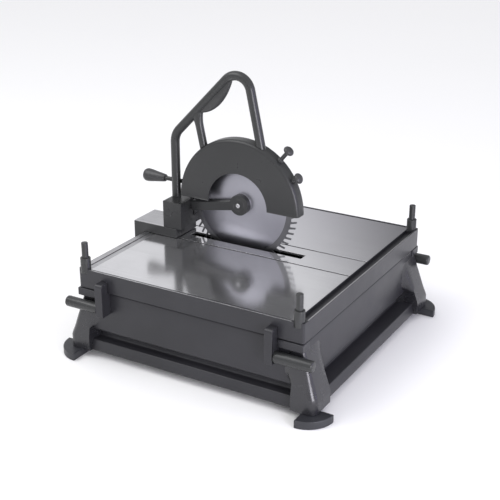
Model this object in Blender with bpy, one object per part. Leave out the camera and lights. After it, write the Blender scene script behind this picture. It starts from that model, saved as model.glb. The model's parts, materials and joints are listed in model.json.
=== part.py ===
"""Masonry table saw: a cast tray base with a steel table, and a tilting head with blade and guard.

Metres, +Z up, +X to the right of the person at the front, who looks along +Y.
The origin is on the floor under the middle of the base. The head tilts about a
pivot at the left of the table, and a belt drive runs through that pivot.
"""
import math

import bmesh
import bpy
from mathutils import Matrix, Vector

# ---- Driving dimensions ------------------------------------------------------------------
GAP = 0.0003                  # clearance between pieces that touch
TABLE_TOP = 0.2615            # height of the table surface above the floor

# base
FRAME_HALF = (0.3415, 0.366)  # table frame, half width and half depth
FRAME_DEPTH = 0.054           # height of the frame's apron
FRAME_WALL = 0.008
WALL_HALF = (0.338, 0.358)    # tray walls below the apron
WALL_BOTTOM = 0.0815          # where the walls turn in above the sill
NECK_HALF = (0.314, 0.330)    # the recess between the walls and the sill
SILL_TOP = 0.0535
SILL_BOTTOM = 0.0225
SILL_TOP_HALF = (0.364, 0.360)
SILL_BOTTOM_HALF = (0.370, 0.366)
TRAY_WALL = 0.008
TRAY_FLOOR = 0.0275
LEG_TOP_CORNER = (0.339, 0.354)
LEG_FOOT_CORNER = (0.381, 0.377)
LEG_TOP = 0.1795
LEG_INNER_FOOT = (0.306, 0.294)
LEG_ROUND = 0.020
LEG_TOP_ROUND = 0.008
LEG_INNER_TOP = (0.301, 0.290)
CORNER_BLOCK_X = (0.270, 0.3445)
CORNER_BLOCK_Y = (0.330, 0.371)
CORNER_BLOCK_HEIGHT = 0.0225
SILL_CHANNEL = ((0.316, 0.332), (0.360, 0.356))
PAN_HALF = (0.300, 0.316)
PAN_TOP = 0.125
PAN_SHEET = 0.002
LEG_KNEE = 0.0575
FOOT_CENTRE = (0.341, 0.338)
FOOT_RADIUS = 0.074

# table
PLATE_X = (-0.3235, 0.3125)
PLATE_Y = (-0.3575, 0.3595)
PLATE_THICKNESS = 0.006
FRAME_LIP = 0.0012             # how far the frame stands above the plates
PLATE_SEAT = (0.016, 0.020)   # ledge under the plates, at the sides and at the ends
SEAM_FRONT = -0.0497
SEAM_REAR = 0.0597
EDGE_STRIP = 0.016
SLOT_X = (-0.2135, 0.147)
SLOT_Y = (-0.0106, 0.018)

# corner sockets and pins
SOCKET_X = 0.3235
SOCKET_Y = (-0.356, 0.352)
SOCKET_RADIUS = 0.014
SOCKET_LOW = TABLE_TOP - 0.012
SOCKET_HIGH = TABLE_TOP + 0.032
PIN_RADIUS = 0.009
PIN_TOP = TABLE_TOP + 0.075
SOCKET_FLOOR = 0.004

# carry bars
BAR_RADIUS = 0.015
BAR_X = (0.252, 0.376)
BAR_Y = 0.378
BAR_Z = TABLE_TOP - 0.099
BRACKET_X = (0.246, 0.2697)
BRACKET_FACE = 0.394
BRACKET_Z = (TABLE_TOP - 0.117, TABLE_TOP - 0.022)

# motor housing and column
HOUSING_X = (-0.3795, -0.2305)
HOUSING_Y = (-0.058, 0.047)
HOUSING_TOP = TABLE_TOP + 0.030
HOUSING_SKIRT = TABLE_TOP - 0.040
COLUMN_X = (-0.2745, -0.2135)
COLUMN_SPLIT = TABLE_TOP + 0.081
COLUMN_TOP = TABLE_TOP + 0.108
COLUMN_WALL = 0.004
MOTOR_AXIS = (-0.244, TABLE_TOP + 0.0445)
MOTOR_RADIUS = 0.0235
MOTOR_Y = (-0.034, 0.0375)

# tilting head: pivot, arm and drive
PIVOT = (-0.2585, TABLE_TOP + 0.081)
KNUCKLE_RADIUS = 0.016
BRACKET_ROUND = 0.011
BRACKET_PLATE = 0.004
SHAFT_HOLE = 0.0053             # radius of the holes that clear the 10 mm shafts
ARBOR = (-0.0505, TABLE_TOP + 0.120)
ARM_Y = (-0.009, 0.004)
ARM_HALF_HEIGHT = 0.0145
ARM_CHAMFER = 0.004
HUB_RADIUS = 0.0295
HUB_FACE = -0.012
HUB_REAR = 0.0042
BELT_RADIUS = 0.0078
BELT_THICKNESS = 0.0018
UPPER_BELT_Y = (-0.006, -0.001)
LOWER_BELT_Y = (-0.0455, -0.0395)
MOTOR_PULLEY_RADIUS = 0.0095

# blade and guard
BLADE_RADIUS = 0.175
BLADE_Y = (0.0069, 0.0099)
BLADE_TEETH = 60
TOOTH_DEPTH = 0.018
TOOTH_SHAPE = ((0.0, 0.0), (0.50, 1.0), (0.78, 0.95), (0.36, 0.0))  # shares of the pitch and of the depth
BLADE_BORE = 0.013
FLANGE_RADIUS = 0.030
GUARD_RADIUS = 0.1907
GUARD_Y = (-0.0208, 0.0224)
GUARD_SPLIT = 0.001
GUARD_WALL = 0.0025
GUARD_ROUND = 0.010
GUARD_WINDOW = 0.0943
GUARD_REAR_WINDOW = 0.034

# grip frame, in the plane GRIP_Y
GRIP_Y = -0.005
GRIP_RADIUS = 0.013
GRIP_PATH = [(-0.262, COLUMN_TOP + GAP), (-0.262, TABLE_TOP + 0.294), (-0.0333, TABLE_TOP + 0.5298),
             (0.0193, TABLE_TOP + 0.2860)]
GRIP_BENDS = [0.055, 0.044]
STRUT_TOP = (-0.1835, TABLE_TOP + 0.352)
STRUT_FOOT = (-0.1633, TABLE_TOP + 0.2588)
STRUT_RADIUS = 0.0118
HAND_GRIP_ENDS = ((-0.1735, TABLE_TOP + 0.3695), (-0.0735, TABLE_TOP + 0.4670))
HAND_GRIP_DEPTH = 0.0225
HAND_GRIP_HALF = 0.010

# side lever and guard knobs
LEVER_Y = 0.0155
LEVER_Z = TABLE_TOP + 0.149
LEVER_ROD_RADIUS = 0.00625
LEVER_X = (-0.3875, -0.2402)
LEVER_GRIP_X = -0.3125
KNOB_ANGLES = (50.0, 30.5)      # degrees above the horizontal
KNOB_HEAD_AT = (0.232, 0.209)   # distance of each head's middle from the arbor
KNOB_Y = 0.001

SEGMENTS = 24


# ---- Helpers -----------------------------------------------------------------------------
def clear_scene():
    for item in list(bpy.data.objects):
        bpy.data.objects.remove(item, do_unlink=True)


def material(name, color, roughness, metallic):
    made = bpy.data.materials.new(name)
    made.use_nodes = True
    shader = made.node_tree.nodes["Principled BSDF"]
    shader.inputs["Base Color"].default_value = (*color, 1.0)
    shader.inputs["Roughness"].default_value = roughness
    shader.inputs["Metallic"].default_value = metallic
    return made


def add_object(name, bm, finish):
    """Close a bmesh into a named object with its faces pointing out."""
    bmesh.ops.recalc_face_normals(bm, faces=bm.faces)
    mesh = bpy.data.meshes.new(name)
    bm.to_mesh(mesh)
    bm.free()
    mesh.shade_smooth()
    mesh.set_sharp_from_angle(angle=math.radians(35))
    made = bpy.data.objects.new(name, mesh)
    bpy.context.collection.objects.link(made)
    made.data.materials.append(finish)
    return made


def box(name, x, y, z, finish):
    """A block between pairs of X, Y and Z limits."""
    bm = bmesh.new()
    bmesh.ops.create_cube(bm, size=1.0)
    low = Vector((min(x), min(y), min(z)))
    high = Vector((max(x), max(y), max(z)))
    bmesh.ops.scale(bm, vec=high - low, verts=bm.verts)
    bmesh.ops.translate(bm, vec=(low + high) / 2, verts=bm.verts)
    return add_object(name, bm, finish)


def prism(name, outline, axis, low, high, finish):
    """Extrude an outline along an axis; its points are the other two coordinates, in order."""
    bm = bmesh.new()

    def corner(point, height):
        coordinates = list(point)
        coordinates.insert(axis, height)
        return bm.verts.new(coordinates)

    face = bm.faces.new([corner(point, low) for point in outline])
    grown = bmesh.ops.extrude_face_region(bm, geom=[face])
    moved = [item for item in grown["geom"] if isinstance(item, bmesh.types.BMVert)]
    shift = Vector((0, 0, 0))
    shift[axis] = high - low
    bmesh.ops.translate(bm, vec=shift, verts=moved)
    return add_object(name, bm, finish)


def turned(name, profile, centre, direction, finish, segments=SEGMENTS):
    """Spin a closed profile of (radius, distance) points about a line through centre."""
    bm = bmesh.new()
    corners = [bm.verts.new((radius, 0, along)) for radius, along in profile]
    pairs = list(zip(corners, corners[1:] + corners[:1]))
    edges = [bm.edges.new(pair) for pair in pairs if pair[0].co.x + pair[1].co.x > 0]
    bmesh.ops.spin(bm, geom=corners + edges, cent=(0, 0, 0), axis=(0, 0, 1),
                   angle=2 * math.pi, steps=segments, use_merge=True)
    bmesh.ops.remove_doubles(bm, verts=bm.verts, dist=1e-6)
    turn = Vector((0, 0, 1)).rotation_difference(Vector(direction)).to_matrix().to_4x4()
    bmesh.ops.transform(bm, matrix=Matrix.Translation(Vector(centre)) @ turn, verts=bm.verts)
    return add_object(name, bm, finish)


def rod(name, radius, start, end, centre, direction, finish, segments=SEGMENTS):
    """A plain cylinder from start to end along a line."""
    profile = [(0, start), (radius, start), (radius, end), (0, end)]
    return turned(name, profile, centre, direction, finish, segments)


def ring(name, inner, outer, start, end, centre, direction, finish, segments=SEGMENTS):
    """A cylinder with a round hole."""
    profile = [(inner, start), (outer, start), (outer, end), (inner, end)]
    return turned(name, profile, centre, direction, finish, segments)


def combine(target, tool, operation):
    """Add a Boolean to target; the tool stays as a hidden wire guide."""
    tool.hide_render = True
    tool.display_type = 'WIRE'
    step = target.modifiers.new(operation.title(), 'BOOLEAN')
    step.operation = operation
    step.solver = 'EXACT'
    step.object = tool
    return target


def cut(target, tool):
    return combine(target, tool, 'DIFFERENCE')


def join(target, tool):
    return combine(target, tool, 'UNION')


def rectangle(half, centre=(0.0, 0.0)):
    (hx, hy), (cx, cy) = half, centre
    return [(cx - hx, cy - hy), (cx + hx, cy - hy), (cx + hx, cy + hy), (cx - hx, cy + hy)]


def loft(name, sections, finish):
    """Join outlines with equal point counts, given as (height, outline), into one solid."""
    bm = bmesh.new()
    rows = [[bm.verts.new((px, py, height)) for px, py in outline] for height, outline in sections]
    for lower, upper in zip(rows, rows[1:]):
        count = len(lower)
        for i in range(count):
            k = (i + 1) % count
            bm.faces.new((lower[i], lower[k], upper[k], upper[i]))
    bm.faces.new(rows[0][::-1])
    bm.faces.new(rows[-1])
    return add_object(name, bm, finish)


def belt_outline(first, second, radius_1, radius_2, steps=10):
    """The outline of a belt round two pulleys in the X-Z plane."""
    run = Vector((second[0] - first[0], second[1] - first[1]))
    heading = math.atan2(run.y, run.x)
    lean = math.acos((radius_1 - radius_2) / run.length)
    points = []
    for centre, radius, begin, finish in ((first, radius_1, heading + lean, heading + 2 * math.pi - lean),
                                          (second, radius_2, heading - lean, heading + lean)):
        for i in range(steps + 1):
            angle = begin + (finish - begin) * i / steps
            points.append((centre[0] + radius * math.cos(angle), centre[1] + radius * math.sin(angle)))
    return points


def rounded_path(corners, radii, step=math.radians(11)):
    """Replace each inner corner of a polyline by an arc that touches both of its sides."""
    points = [Vector(corners[0])]
    for before, corner, after, radius in zip(corners, corners[1:], corners[2:], radii):
        corner = Vector(corner)
        back = (Vector(before) - corner).normalized()
        ahead = (Vector(after) - corner).normalized()
        half = back.angle(ahead) / 2
        reach = radius / math.tan(half)
        centre = corner + (back + ahead).normalized() * radius / math.sin(half)
        start = corner + back * reach - centre
        turn = math.pi - 2 * half
        if start.cross(corner + ahead * reach - centre) < 0:
            turn = -turn
        count = max(1, round(abs(turn) / step))
        for i in range(count + 1):
            points.append(centre + Matrix.Rotation(turn * i / count, 2) @ start)
    points.append(Vector(corners[-1]))
    return points


def tube(name, path, y, radius, finish, segments=12):
    """A round bar along a path in the X-Z plane at depth y, mitred at each point."""
    bm = bmesh.new()
    rows = []
    for i, point in enumerate(path):
        before = (point - path[i - 1]).normalized() if i else (path[1] - point).normalized()
        after = (path[i + 1] - point).normalized() if i + 1 < len(path) else before
        side = Vector((-(before + after).y, (before + after).x)).normalized()
        stretch = 1 / max(0.5, side.dot(Vector((-before.y, before.x))))
        row = []
        for k in range(segments):
            angle = 2 * math.pi * k / segments
            offset = side * radius * stretch * math.cos(angle)
            row.append(bm.verts.new((point.x + offset.x, y + radius * math.sin(angle), point.y + offset.y)))
        rows.append(row)
    for lower, upper in zip(rows, rows[1:]):
        for k in range(segments):
            n = (k + 1) % segments
            bm.faces.new((lower[k], lower[n], upper[n], upper[k]))
    bm.faces.new(rows[0][::-1])
    bm.faces.new(rows[-1])
    return add_object(name, bm, finish)


def carried_by(parent, *pieces):
    """Parent pieces to an empty, which stands on the joint's axis."""
    for piece in pieces:
        piece.data.transform(Matrix.Translation(-parent.location))
        piece.parent = parent


def joint_empty(name, location):
    made = bpy.data.objects.new(name, None)
    made.location = location
    made.empty_display_size = 0.03
    bpy.context.collection.objects.link(made)
    return made


CORNERS = {"front_left": (-1, -1), "front_right": (1, -1), "rear_left": (-1, 1), "rear_right": (1, 1)}


# ---- Base --------------------------------------------------------------------------------
def leg_section(corner, inner, sx, sy, rounding):
    """A leg's outline: inner corner to rounded outer corner, mirrored by sx and sy."""
    (ox, oy), (ix, iy) = corner, inner
    points = [(ix, iy), (ox, iy)]
    for degrees in (0, 30, 60, 90):
        angle = math.radians(degrees)
        points.append((ox - rounding * (1 - math.cos(angle)), oy - rounding * (1 - math.sin(angle))))
    points.append((ix, oy))
    return [(sx * px, sy * py) for px, py in points]


def make_base(finish):
    """Tray walls, inward ledge, flared sill, four flared corner legs and corner blocks."""
    top = TABLE_TOP - FRAME_DEPTH - GAP
    casting = loft("base_casting", [(SILL_BOTTOM, rectangle(SILL_BOTTOM_HALF)),
                                    (SILL_TOP, rectangle(SILL_TOP_HALF))], finish)
    neck = box("guide_neck", (-NECK_HALF[0], NECK_HALF[0]), (-NECK_HALF[1], NECK_HALF[1]),
               (SILL_TOP - 0.01, WALL_BOTTOM + 0.01), finish)
    join(casting, neck)
    walls = box("guide_walls", (-WALL_HALF[0], WALL_HALF[0]), (-WALL_HALF[1], WALL_HALF[1]),
                (WALL_BOTTOM, top), finish)
    join(casting, walls)
    for corner, (sx, sy) in CORNERS.items():
        leg = loft("guide_leg_" + corner, [
            (SILL_BOTTOM + 0.0002, leg_section(LEG_FOOT_CORNER, LEG_INNER_FOOT, sx, sy, LEG_ROUND)),
            (LEG_KNEE, leg_section(LEG_FOOT_CORNER, LEG_INNER_FOOT, sx, sy, LEG_ROUND)),
            (LEG_TOP, leg_section(LEG_TOP_CORNER, LEG_INNER_TOP, sx, sy, LEG_TOP_ROUND))], finish)
        join(casting, leg)
        block = box("guide_corner_" + corner, [sx * x for x in CORNER_BLOCK_X],
                    [sy * y for y in CORNER_BLOCK_Y], (top - CORNER_BLOCK_HEIGHT, top - 0.0002), finish)
        join(casting, block)
    inside = (NECK_HALF[0] - TRAY_WALL, NECK_HALF[1] - TRAY_WALL)
    cut(casting, box("guide_tray", (-inside[0], inside[0]), (-inside[1], inside[1]),
                     (TRAY_FLOOR, TABLE_TOP), finish))
    wide = (WALL_HALF[0] - TRAY_WALL, WALL_HALF[1] - TRAY_WALL)
    cut(casting, box("guide_tray_top", (-wide[0], wide[0]), (-wide[1], wide[1]),
                     (WALL_BOTTOM + TRAY_WALL, TABLE_TOP), finish))
    inner, outer = SILL_CHANNEL
    channel = box("guide_channel", (-outer[0], outer[0]), (-outer[1], outer[1]),
                  (0, SILL_TOP - TRAY_WALL), finish)
    cut(channel, box("guide_channel_core", (-inner[0], inner[0]), (-inner[1], inner[1]),
                     (-0.01, 0.1), finish))
    for corner, (sx, sy) in CORNERS.items():
        cut(channel, box("guide_leg_core_" + corner, (sx * LEG_INNER_TOP[0], sx * 0.4),
                         (sy * LEG_INNER_TOP[1], sy * 0.4),
                         (-0.01, 0.1), finish))
    return cut(casting, channel)


def make_feet(finish):
    """Quarter-disc pads, one under each corner."""
    for corner, (sx, sy) in CORNERS.items():
        outline = [(sx * FOOT_CENTRE[0], sy * FOOT_CENTRE[1])]
        for i in range(13):
            angle = math.radians(90) * i / 12
            outline.append((sx * (FOOT_CENTRE[0] + FOOT_RADIUS * math.cos(angle)),
                            sy * (FOOT_CENTRE[1] + FOOT_RADIUS * math.sin(angle))))
        prism("foot_" + corner, outline, 2, 0, SILL_BOTTOM - GAP, finish)


def make_bars(bar_finish, bracket_finish):
    """Lifting bars along X at the corners, each held by the bracket at its inner end."""
    for corner, (sx, sy) in CORNERS.items():
        centre = (0, sy * BAR_Y, BAR_Z)
        inner, outer, round_off = sx * BAR_X[0], sx * BAR_X[1], sx * 0.004
        profile = [(0, inner), (BAR_RADIUS, inner), (BAR_RADIUS, outer - round_off),
                   (BAR_RADIUS - 0.004, outer), (0, outer)]
        turned("carry_bar_" + corner, profile, centre, (1, 0, 0), bar_finish)
        step = TABLE_TOP - FRAME_DEPTH - 2 * GAP
        outline = [(WALL_HALF[1] + GAP, BRACKET_Z[0]), (BRACKET_FACE, BRACKET_Z[0]),
                   (BRACKET_FACE, BRACKET_Z[1] - 0.008), (BRACKET_FACE - 0.008, BRACKET_Z[1]),
                   (FRAME_HALF[1] + GAP, BRACKET_Z[1]), (FRAME_HALF[1] + GAP, step),
                   (WALL_HALF[1] + GAP, step)]
        bracket = prism("bar_bracket_" + corner, [(sy * py, pz) for py, pz in outline], 0,
                        sx * BRACKET_X[0], sx * BRACKET_X[1], bracket_finish)
        bore = rod("guide_bore_" + corner, BAR_RADIUS + GAP, inner - sx * GAP, outer, centre, (1, 0, 0),
                   bracket_finish)
        cut(bracket, bore)


def make_table(frame_finish, plate_finish, edge_finish):
    """The frame ring, two plates, the slotted insert between them and the left edge strip."""
    bottom = TABLE_TOP - FRAME_DEPTH
    frame = box("table_frame", (-FRAME_HALF[0], FRAME_HALF[0]), (-FRAME_HALF[1], FRAME_HALF[1]),
                (bottom, TABLE_TOP + FRAME_LIP), frame_finish)
    cut(frame, box("guide_plates", (PLATE_X[0] - GAP, PLATE_X[1] + GAP), (PLATE_Y[0] - GAP, PLATE_Y[1] + GAP),
                   (TABLE_TOP - PLATE_THICKNESS - GAP, TABLE_TOP + 0.02), frame_finish))
    cut(frame, box("guide_opening", (PLATE_X[0] + PLATE_SEAT[0], PLATE_X[1] - PLATE_SEAT[0]),
                   (PLATE_Y[0] + PLATE_SEAT[1], PLATE_Y[1] - PLATE_SEAT[1]), (bottom - 0.01, TABLE_TOP),
                   frame_finish))
    inside = (FRAME_HALF[0] - FRAME_WALL, FRAME_HALF[1] - FRAME_WALL)
    under = box("guide_under_frame", (-inside[0], inside[0]), (-inside[1], inside[1]),
                (bottom - 0.01, TABLE_TOP - 2 * PLATE_THICKNESS), frame_finish)
    for corner, (sx, sy) in CORNERS.items():
        boss = box("guide_boss_" + corner, (sx * 0.305, sx * 0.4), (sy * 0.335, sy * 0.4), (0, 1),
                   frame_finish)
        cut(under, boss)
    cut(frame, under)
    z = (TABLE_TOP - PLATE_THICKNESS, TABLE_TOP)
    left = PLATE_X[0] + EDGE_STRIP + GAP
    plates = [
        box("table_plate_front", (left, PLATE_X[1]), (PLATE_Y[0], SEAM_FRONT - GAP), z, plate_finish),
        box("table_insert", (left, PLATE_X[1]), (SEAM_FRONT + GAP, SEAM_REAR - GAP), z, plate_finish),
        box("table_plate_rear", (left, PLATE_X[1]), (SEAM_REAR + GAP, PLATE_Y[1]), z, plate_finish),
        box("table_edge_strip", (PLATE_X[0], PLATE_X[0] + EDGE_STRIP), PLATE_Y, z, edge_finish)]
    slot = box("guide_slot", SLOT_X, SLOT_Y, (TABLE_TOP - 0.02, TABLE_TOP + 0.01), plate_finish)
    cut(plates[1], slot)
    for corner, (sx, sy) in CORNERS.items():
        at = (sx * SOCKET_X, SOCKET_Y[0] if sy < 0 else SOCKET_Y[1], 0)
        pocket = rod("guide_pocket_" + corner, SOCKET_RADIUS + GAP, SOCKET_LOW - GAP, TABLE_TOP + 0.03,
                     at, (0, 0, 1), frame_finish)
        cut(frame, pocket)
        cut(plates[0] if sy < 0 else plates[2], pocket)
        if sx < 0:
            cut(plates[3], pocket)


def make_sockets(socket_finish, pin_finish):
    """A socket let into each corner of the frame, with a removable locating pin in it."""
    for corner, (sx, sy) in CORNERS.items():
        at = (sx * SOCKET_X, SOCKET_Y[0] if sy < 0 else SOCKET_Y[1], 0)
        seat = SOCKET_LOW + SOCKET_FLOOR
        bore = PIN_RADIUS + GAP
        turned("corner_socket_" + corner,
               [(0, SOCKET_LOW), (SOCKET_RADIUS, SOCKET_LOW), (SOCKET_RADIUS, SOCKET_HIGH - 0.002),
                (SOCKET_RADIUS - 0.002, SOCKET_HIGH), (bore, SOCKET_HIGH), (bore, seat), (0, seat)],
               at, (0, 0, 1), socket_finish)
        turned("locating_pin_" + corner,
               [(0, seat + GAP), (PIN_RADIUS, seat + GAP), (PIN_RADIUS, PIN_TOP - 0.002),
                (PIN_RADIUS - 0.002, PIN_TOP), (0, PIN_TOP)], at, (0, 0, 1), pin_finish)


def make_water_pan(finish):
    """The open pan that catches the cooling water inside the tray."""
    x, y = PAN_HALF
    pan = box("water_pan", (-x, x), (-y, y), (TRAY_FLOOR + GAP, PAN_TOP), finish)
    x, y = PAN_HALF[0] - PAN_SHEET, PAN_HALF[1] - PAN_SHEET
    hollow = box("guide_pan", (-x, x), (-y, y), (TRAY_FLOOR + GAP + PAN_SHEET, TABLE_TOP), finish)
    return cut(pan, hollow)


# ---- Motor housing and column ------------------------------------------------------------
def make_housing(finish):
    """The motor housing on the table, with a skirt that hangs outside its left edge."""
    outside = -FRAME_HALF[0] - 0.001
    base = TABLE_TOP + 0.0015
    outline = [(HOUSING_X[1], base), (HOUSING_X[1], HOUSING_TOP), (HOUSING_X[0], HOUSING_TOP),
               (HOUSING_X[0], HOUSING_SKIRT), (outside, HOUSING_SKIRT), (outside, base)]
    housing = prism("motor_housing", outline, 1, HOUSING_Y[0], HOUSING_Y[1], finish)
    wall = COLUMN_WALL
    outline = [(HOUSING_X[1] - wall, base - 0.01), (HOUSING_X[1] - wall, HOUSING_TOP - wall),
               (HOUSING_X[0] + wall, HOUSING_TOP - wall), (HOUSING_X[0] + wall, HOUSING_SKIRT - 0.01),
               (outside - wall, HOUSING_SKIRT - 0.01), (outside - wall, base + wall),
               (COLUMN_X[0] - 0.004, base + wall), (COLUMN_X[0] - 0.004, base - 0.01)]
    cut(housing, prism("guide_housing", outline, 1, HOUSING_Y[0] + wall, HOUSING_Y[1] - wall, finish))
    well = box("guide_well", (COLUMN_X[0] + wall, COLUMN_X[1] - wall),
               (HOUSING_Y[0] + wall, HOUSING_Y[1] - wall), (HOUSING_TOP - 0.01, HOUSING_TOP + 0.01), finish)
    return cut(housing, well)


def blade_path(name, finish):
    """The room that the blade's edge needs in the column's right wall."""
    return rod(name, BLADE_RADIUS + 0.0025, BLADE_Y[0] - 0.002, BLADE_Y[1] + 0.002, (ARBOR[0], 0, ARBOR[1]),
               (0, 1, 0), finish, 64)


def make_column(finish):
    """The fixed lower half of the column, hollow, with a round seat for the head's knuckle."""
    column = box("column_block", COLUMN_X, HOUSING_Y, (HOUSING_TOP + GAP, COLUMN_SPLIT - GAP / 2), finish)
    wall = COLUMN_WALL
    cut(column, box("guide_column", (COLUMN_X[0] + wall, COLUMN_X[1] - wall),
                    (HOUSING_Y[0] + wall, HOUSING_Y[1] - wall), (HOUSING_TOP - 0.01, COLUMN_TOP), finish))
    cut(column, box("guide_belt_notch", (COLUMN_X[1] - 0.01, COLUMN_X[1] + 0.01),
                    (ARM_Y[0] + 0.0025, ARM_Y[1] - 0.002), (COLUMN_SPLIT - 0.0035, COLUMN_TOP), finish))
    cut(column, blade_path("guide_blade_path_column", finish))
    return cut(column, rod("guide_knuckle", KNUCKLE_RADIUS + 0.0005, -0.1, 0.1, (PIVOT[0], 0, PIVOT[1]),
                           (0, 1, 0), finish))


def make_pivot_brackets(finish):
    """Two plates inside the column that carry the jackshaft; each is waisted to clear the tilting head."""
    for name, low, foot in (("pivot_bracket_front", HOUSING_Y[0] + COLUMN_WALL + GAP, TABLE_TOP + 0.0595),
                            ("pivot_bracket_rear", HOUSING_Y[1] - COLUMN_WALL - GAP - BRACKET_PLATE,
                             TABLE_TOP + 0.038)):
        outline = [(PIVOT[0] - 0.0115, foot), (PIVOT[0] + BRACKET_ROUND, foot)]
        for i in range(11):
            angle = math.radians(25) * i
            outline.append((PIVOT[0] + BRACKET_ROUND * math.cos(angle),
                            PIVOT[1] + BRACKET_ROUND * math.sin(angle)))
        outline.append((PIVOT[0] - 0.0032, PIVOT[1] - 0.0172))
        outline.append((PIVOT[0] - 0.0115, PIVOT[1] - 0.0172))
        plate = prism(name, outline, 1, low, low + BRACKET_PLATE, finish)
        cut(plate, rod("guide_" + name, SHAFT_HOLE, -0.1, 0.1, (PIVOT[0], 0, PIVOT[1]), (0, 1, 0), finish))


def make_motor(can_finish, steel, pulley_finish, spin):
    """Motor can on the base; rotor, shaft and pulley turn in it."""
    at = (MOTOR_AXIS[0], 0, MOTOR_AXIS[1])
    low, high = MOTOR_Y
    bore = 0.0043
    can = MOTOR_RADIUS - 0.002
    turned("motor_can", [(bore, low), (MOTOR_RADIUS, low), (MOTOR_RADIUS, high), (bore, high),
                         (bore, high - 0.003), (can, high - 0.003), (can, low + 0.003), (bore, low + 0.003)],
           at, (0, 1, 0), can_finish)
    shaft = rod("motor_shaft", 0.004, LOWER_BELT_Y[0] - 0.002, high - 0.001, at, (0, 1, 0), steel)
    rotor = ring("motor_rotor", bore, can - 0.002, low + 0.006, high - 0.006, at, (0, 1, 0), steel)
    pulley = ring("motor_pulley", bore, MOTOR_PULLEY_RADIUS, *LOWER_BELT_Y, at, (0, 1, 0), pulley_finish)
    carried_by(spin, shaft, rotor, pulley)


def make_belt(name, first, second, radius_1, radius_2, y, finish):
    belt = prism(name, belt_outline(first, second, radius_1 + BELT_THICKNESS, radius_2 + BELT_THICKNESS),
                 1, y[0], y[1], finish)
    hole = prism("guide_" + name, belt_outline(first, second, radius_1, radius_2), 1, y[0] - 0.01,
                 y[1] + 0.01, finish)
    return cut(belt, hole)


# ---- Head --------------------------------------------------------------------------------
def make_head_block(finish):
    """The upper half of the column: a hollow cap with round knuckle cheeks at the pivot."""
    low = COLUMN_SPLIT + GAP / 2
    wall = COLUMN_WALL
    block = box("head_block", COLUMN_X, HOUSING_Y, (low, COLUMN_TOP), finish)
    knuckle = rod("guide_barrel", KNUCKLE_RADIUS, *HOUSING_Y, (PIVOT[0], 0, PIVOT[1]), (0, 1, 0), finish)
    join(block, knuckle)
    cut(block, box("guide_cap", (COLUMN_X[0] + wall, COLUMN_X[1] - wall),
                   (HOUSING_Y[0] + wall, HOUSING_Y[1] - wall), (TABLE_TOP, COLUMN_TOP - wall), finish))
    cut(block, box("guide_mouth", (COLUMN_X[1] - 0.01, COLUMN_X[1] + 0.01),
                   (ARM_Y[0] + 0.0025, ARM_Y[1] - 0.002), (TABLE_TOP, COLUMN_TOP - 0.006), finish))
    cut(block, blade_path("guide_blade_path_head", finish))
    return cut(block, rod("guide_shaft_hole", SHAFT_HOLE, -0.1, 0.1, (PIVOT[0], 0, PIVOT[1]),
                          (0, 1, 0), finish))


def make_arm(finish):
    """The hollow arm from the head block to the blade's hub, chamfered along its top front edge."""
    run = Vector((ARBOR[0] - PIVOT[0], ARBOR[1] - PIVOT[1]))
    pitch = math.atan2(run.y, run.x)
    start = (COLUMN_X[1] + GAP - PIVOT[0]) / math.cos(pitch) + 0.003
    half = ARM_HALF_HEIGHT
    outline = [(ARM_Y[0], -half), (ARM_Y[1], -half), (ARM_Y[1], half), (ARM_Y[0] + ARM_CHAMFER, half),
               (ARM_Y[0], half - ARM_CHAMFER)]
    arm = prism("arm", outline, 0, start, run.length, finish)
    tunnel = prism("guide_tunnel", [(ARM_Y[0] + 0.0025, -0.0105), (ARM_Y[1] - 0.002, -0.0105),
                                    (ARM_Y[1] - 0.002, 0.0105), (ARM_Y[0] + 0.0025, 0.0105)],
                   0, start - 0.05, run.length, finish)
    for piece in (arm, tunnel):
        piece.data.transform(Matrix.Translation((PIVOT[0], 0, PIVOT[1])) @ Matrix.Rotation(-pitch, 4, 'Y'))
    hub = (ARBOR[0], 0, ARBOR[1])
    profile = [(0, HUB_FACE), (HUB_RADIUS - 0.003, HUB_FACE), (HUB_RADIUS, HUB_FACE + 0.003),
               (HUB_RADIUS, HUB_REAR), (0, HUB_REAR)]
    join(arm, turned("guide_hub", profile, hub, (0, 1, 0), finish, 32))
    cut(arm, tunnel)
    cut(arm, rod("guide_bearing_seat", 0.0113, HUB_FACE + 0.0018, 0.05, hub, (0, 1, 0), finish))
    return cut(arm, rod("guide_cap_hole", SHAFT_HOLE, -0.05, 0.05, hub, (0, 1, 0), finish))


def make_spindle(steel, blade_finish, pulley_finish, spin):
    """Arbor shaft with pulley, flanges, blade, nut and front cap, all turning together."""
    hub = (ARBOR[0], 0, ARBOR[1])
    axis = (0, 1, 0)
    shaft = turned("arbor_shaft", [(0, HUB_FACE - GAP), (0.005, HUB_FACE - GAP), (0.005, ARM_Y[1] + GAP),
                                   (0.0127, ARM_Y[1] + GAP), (0.0127, BLADE_Y[1]), (0.008, BLADE_Y[1]),
                                   (0.008, 0.0193), (0, 0.0193)], hub, axis, steel)
    cap = turned("arbor_cap", [(0, HUB_FACE - 0.0045), (0.005, HUB_FACE - 0.0045), (0.0065, HUB_FACE - 0.003),
                               (0.0065, HUB_FACE - 2 * GAP), (0, HUB_FACE - 2 * GAP)], hub, axis, steel, 12)
    pulley = ring("arbor_pulley", SHAFT_HOLE, BELT_RADIUS - GAP, *UPPER_BELT_Y, hub, axis, pulley_finish)
    inner = ring("inner_flange", BLADE_BORE, FLANGE_RADIUS, ARM_Y[1] + 2 * GAP, BLADE_Y[0] - GAP,
                 hub, axis, steel)
    outer = ring("outer_flange", 0.0083, FLANGE_RADIUS, BLADE_Y[1] + GAP, 0.0143, hub, axis, steel)
    nut = ring("arbor_nut", 0.0095, 0.0145, 0.0146, 0.0190, hub, axis, steel, 6)
    blade = make_blade(blade_finish)
    carried_by(spin, shaft, cap, pulley, inner, outer, nut, blade)


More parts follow.
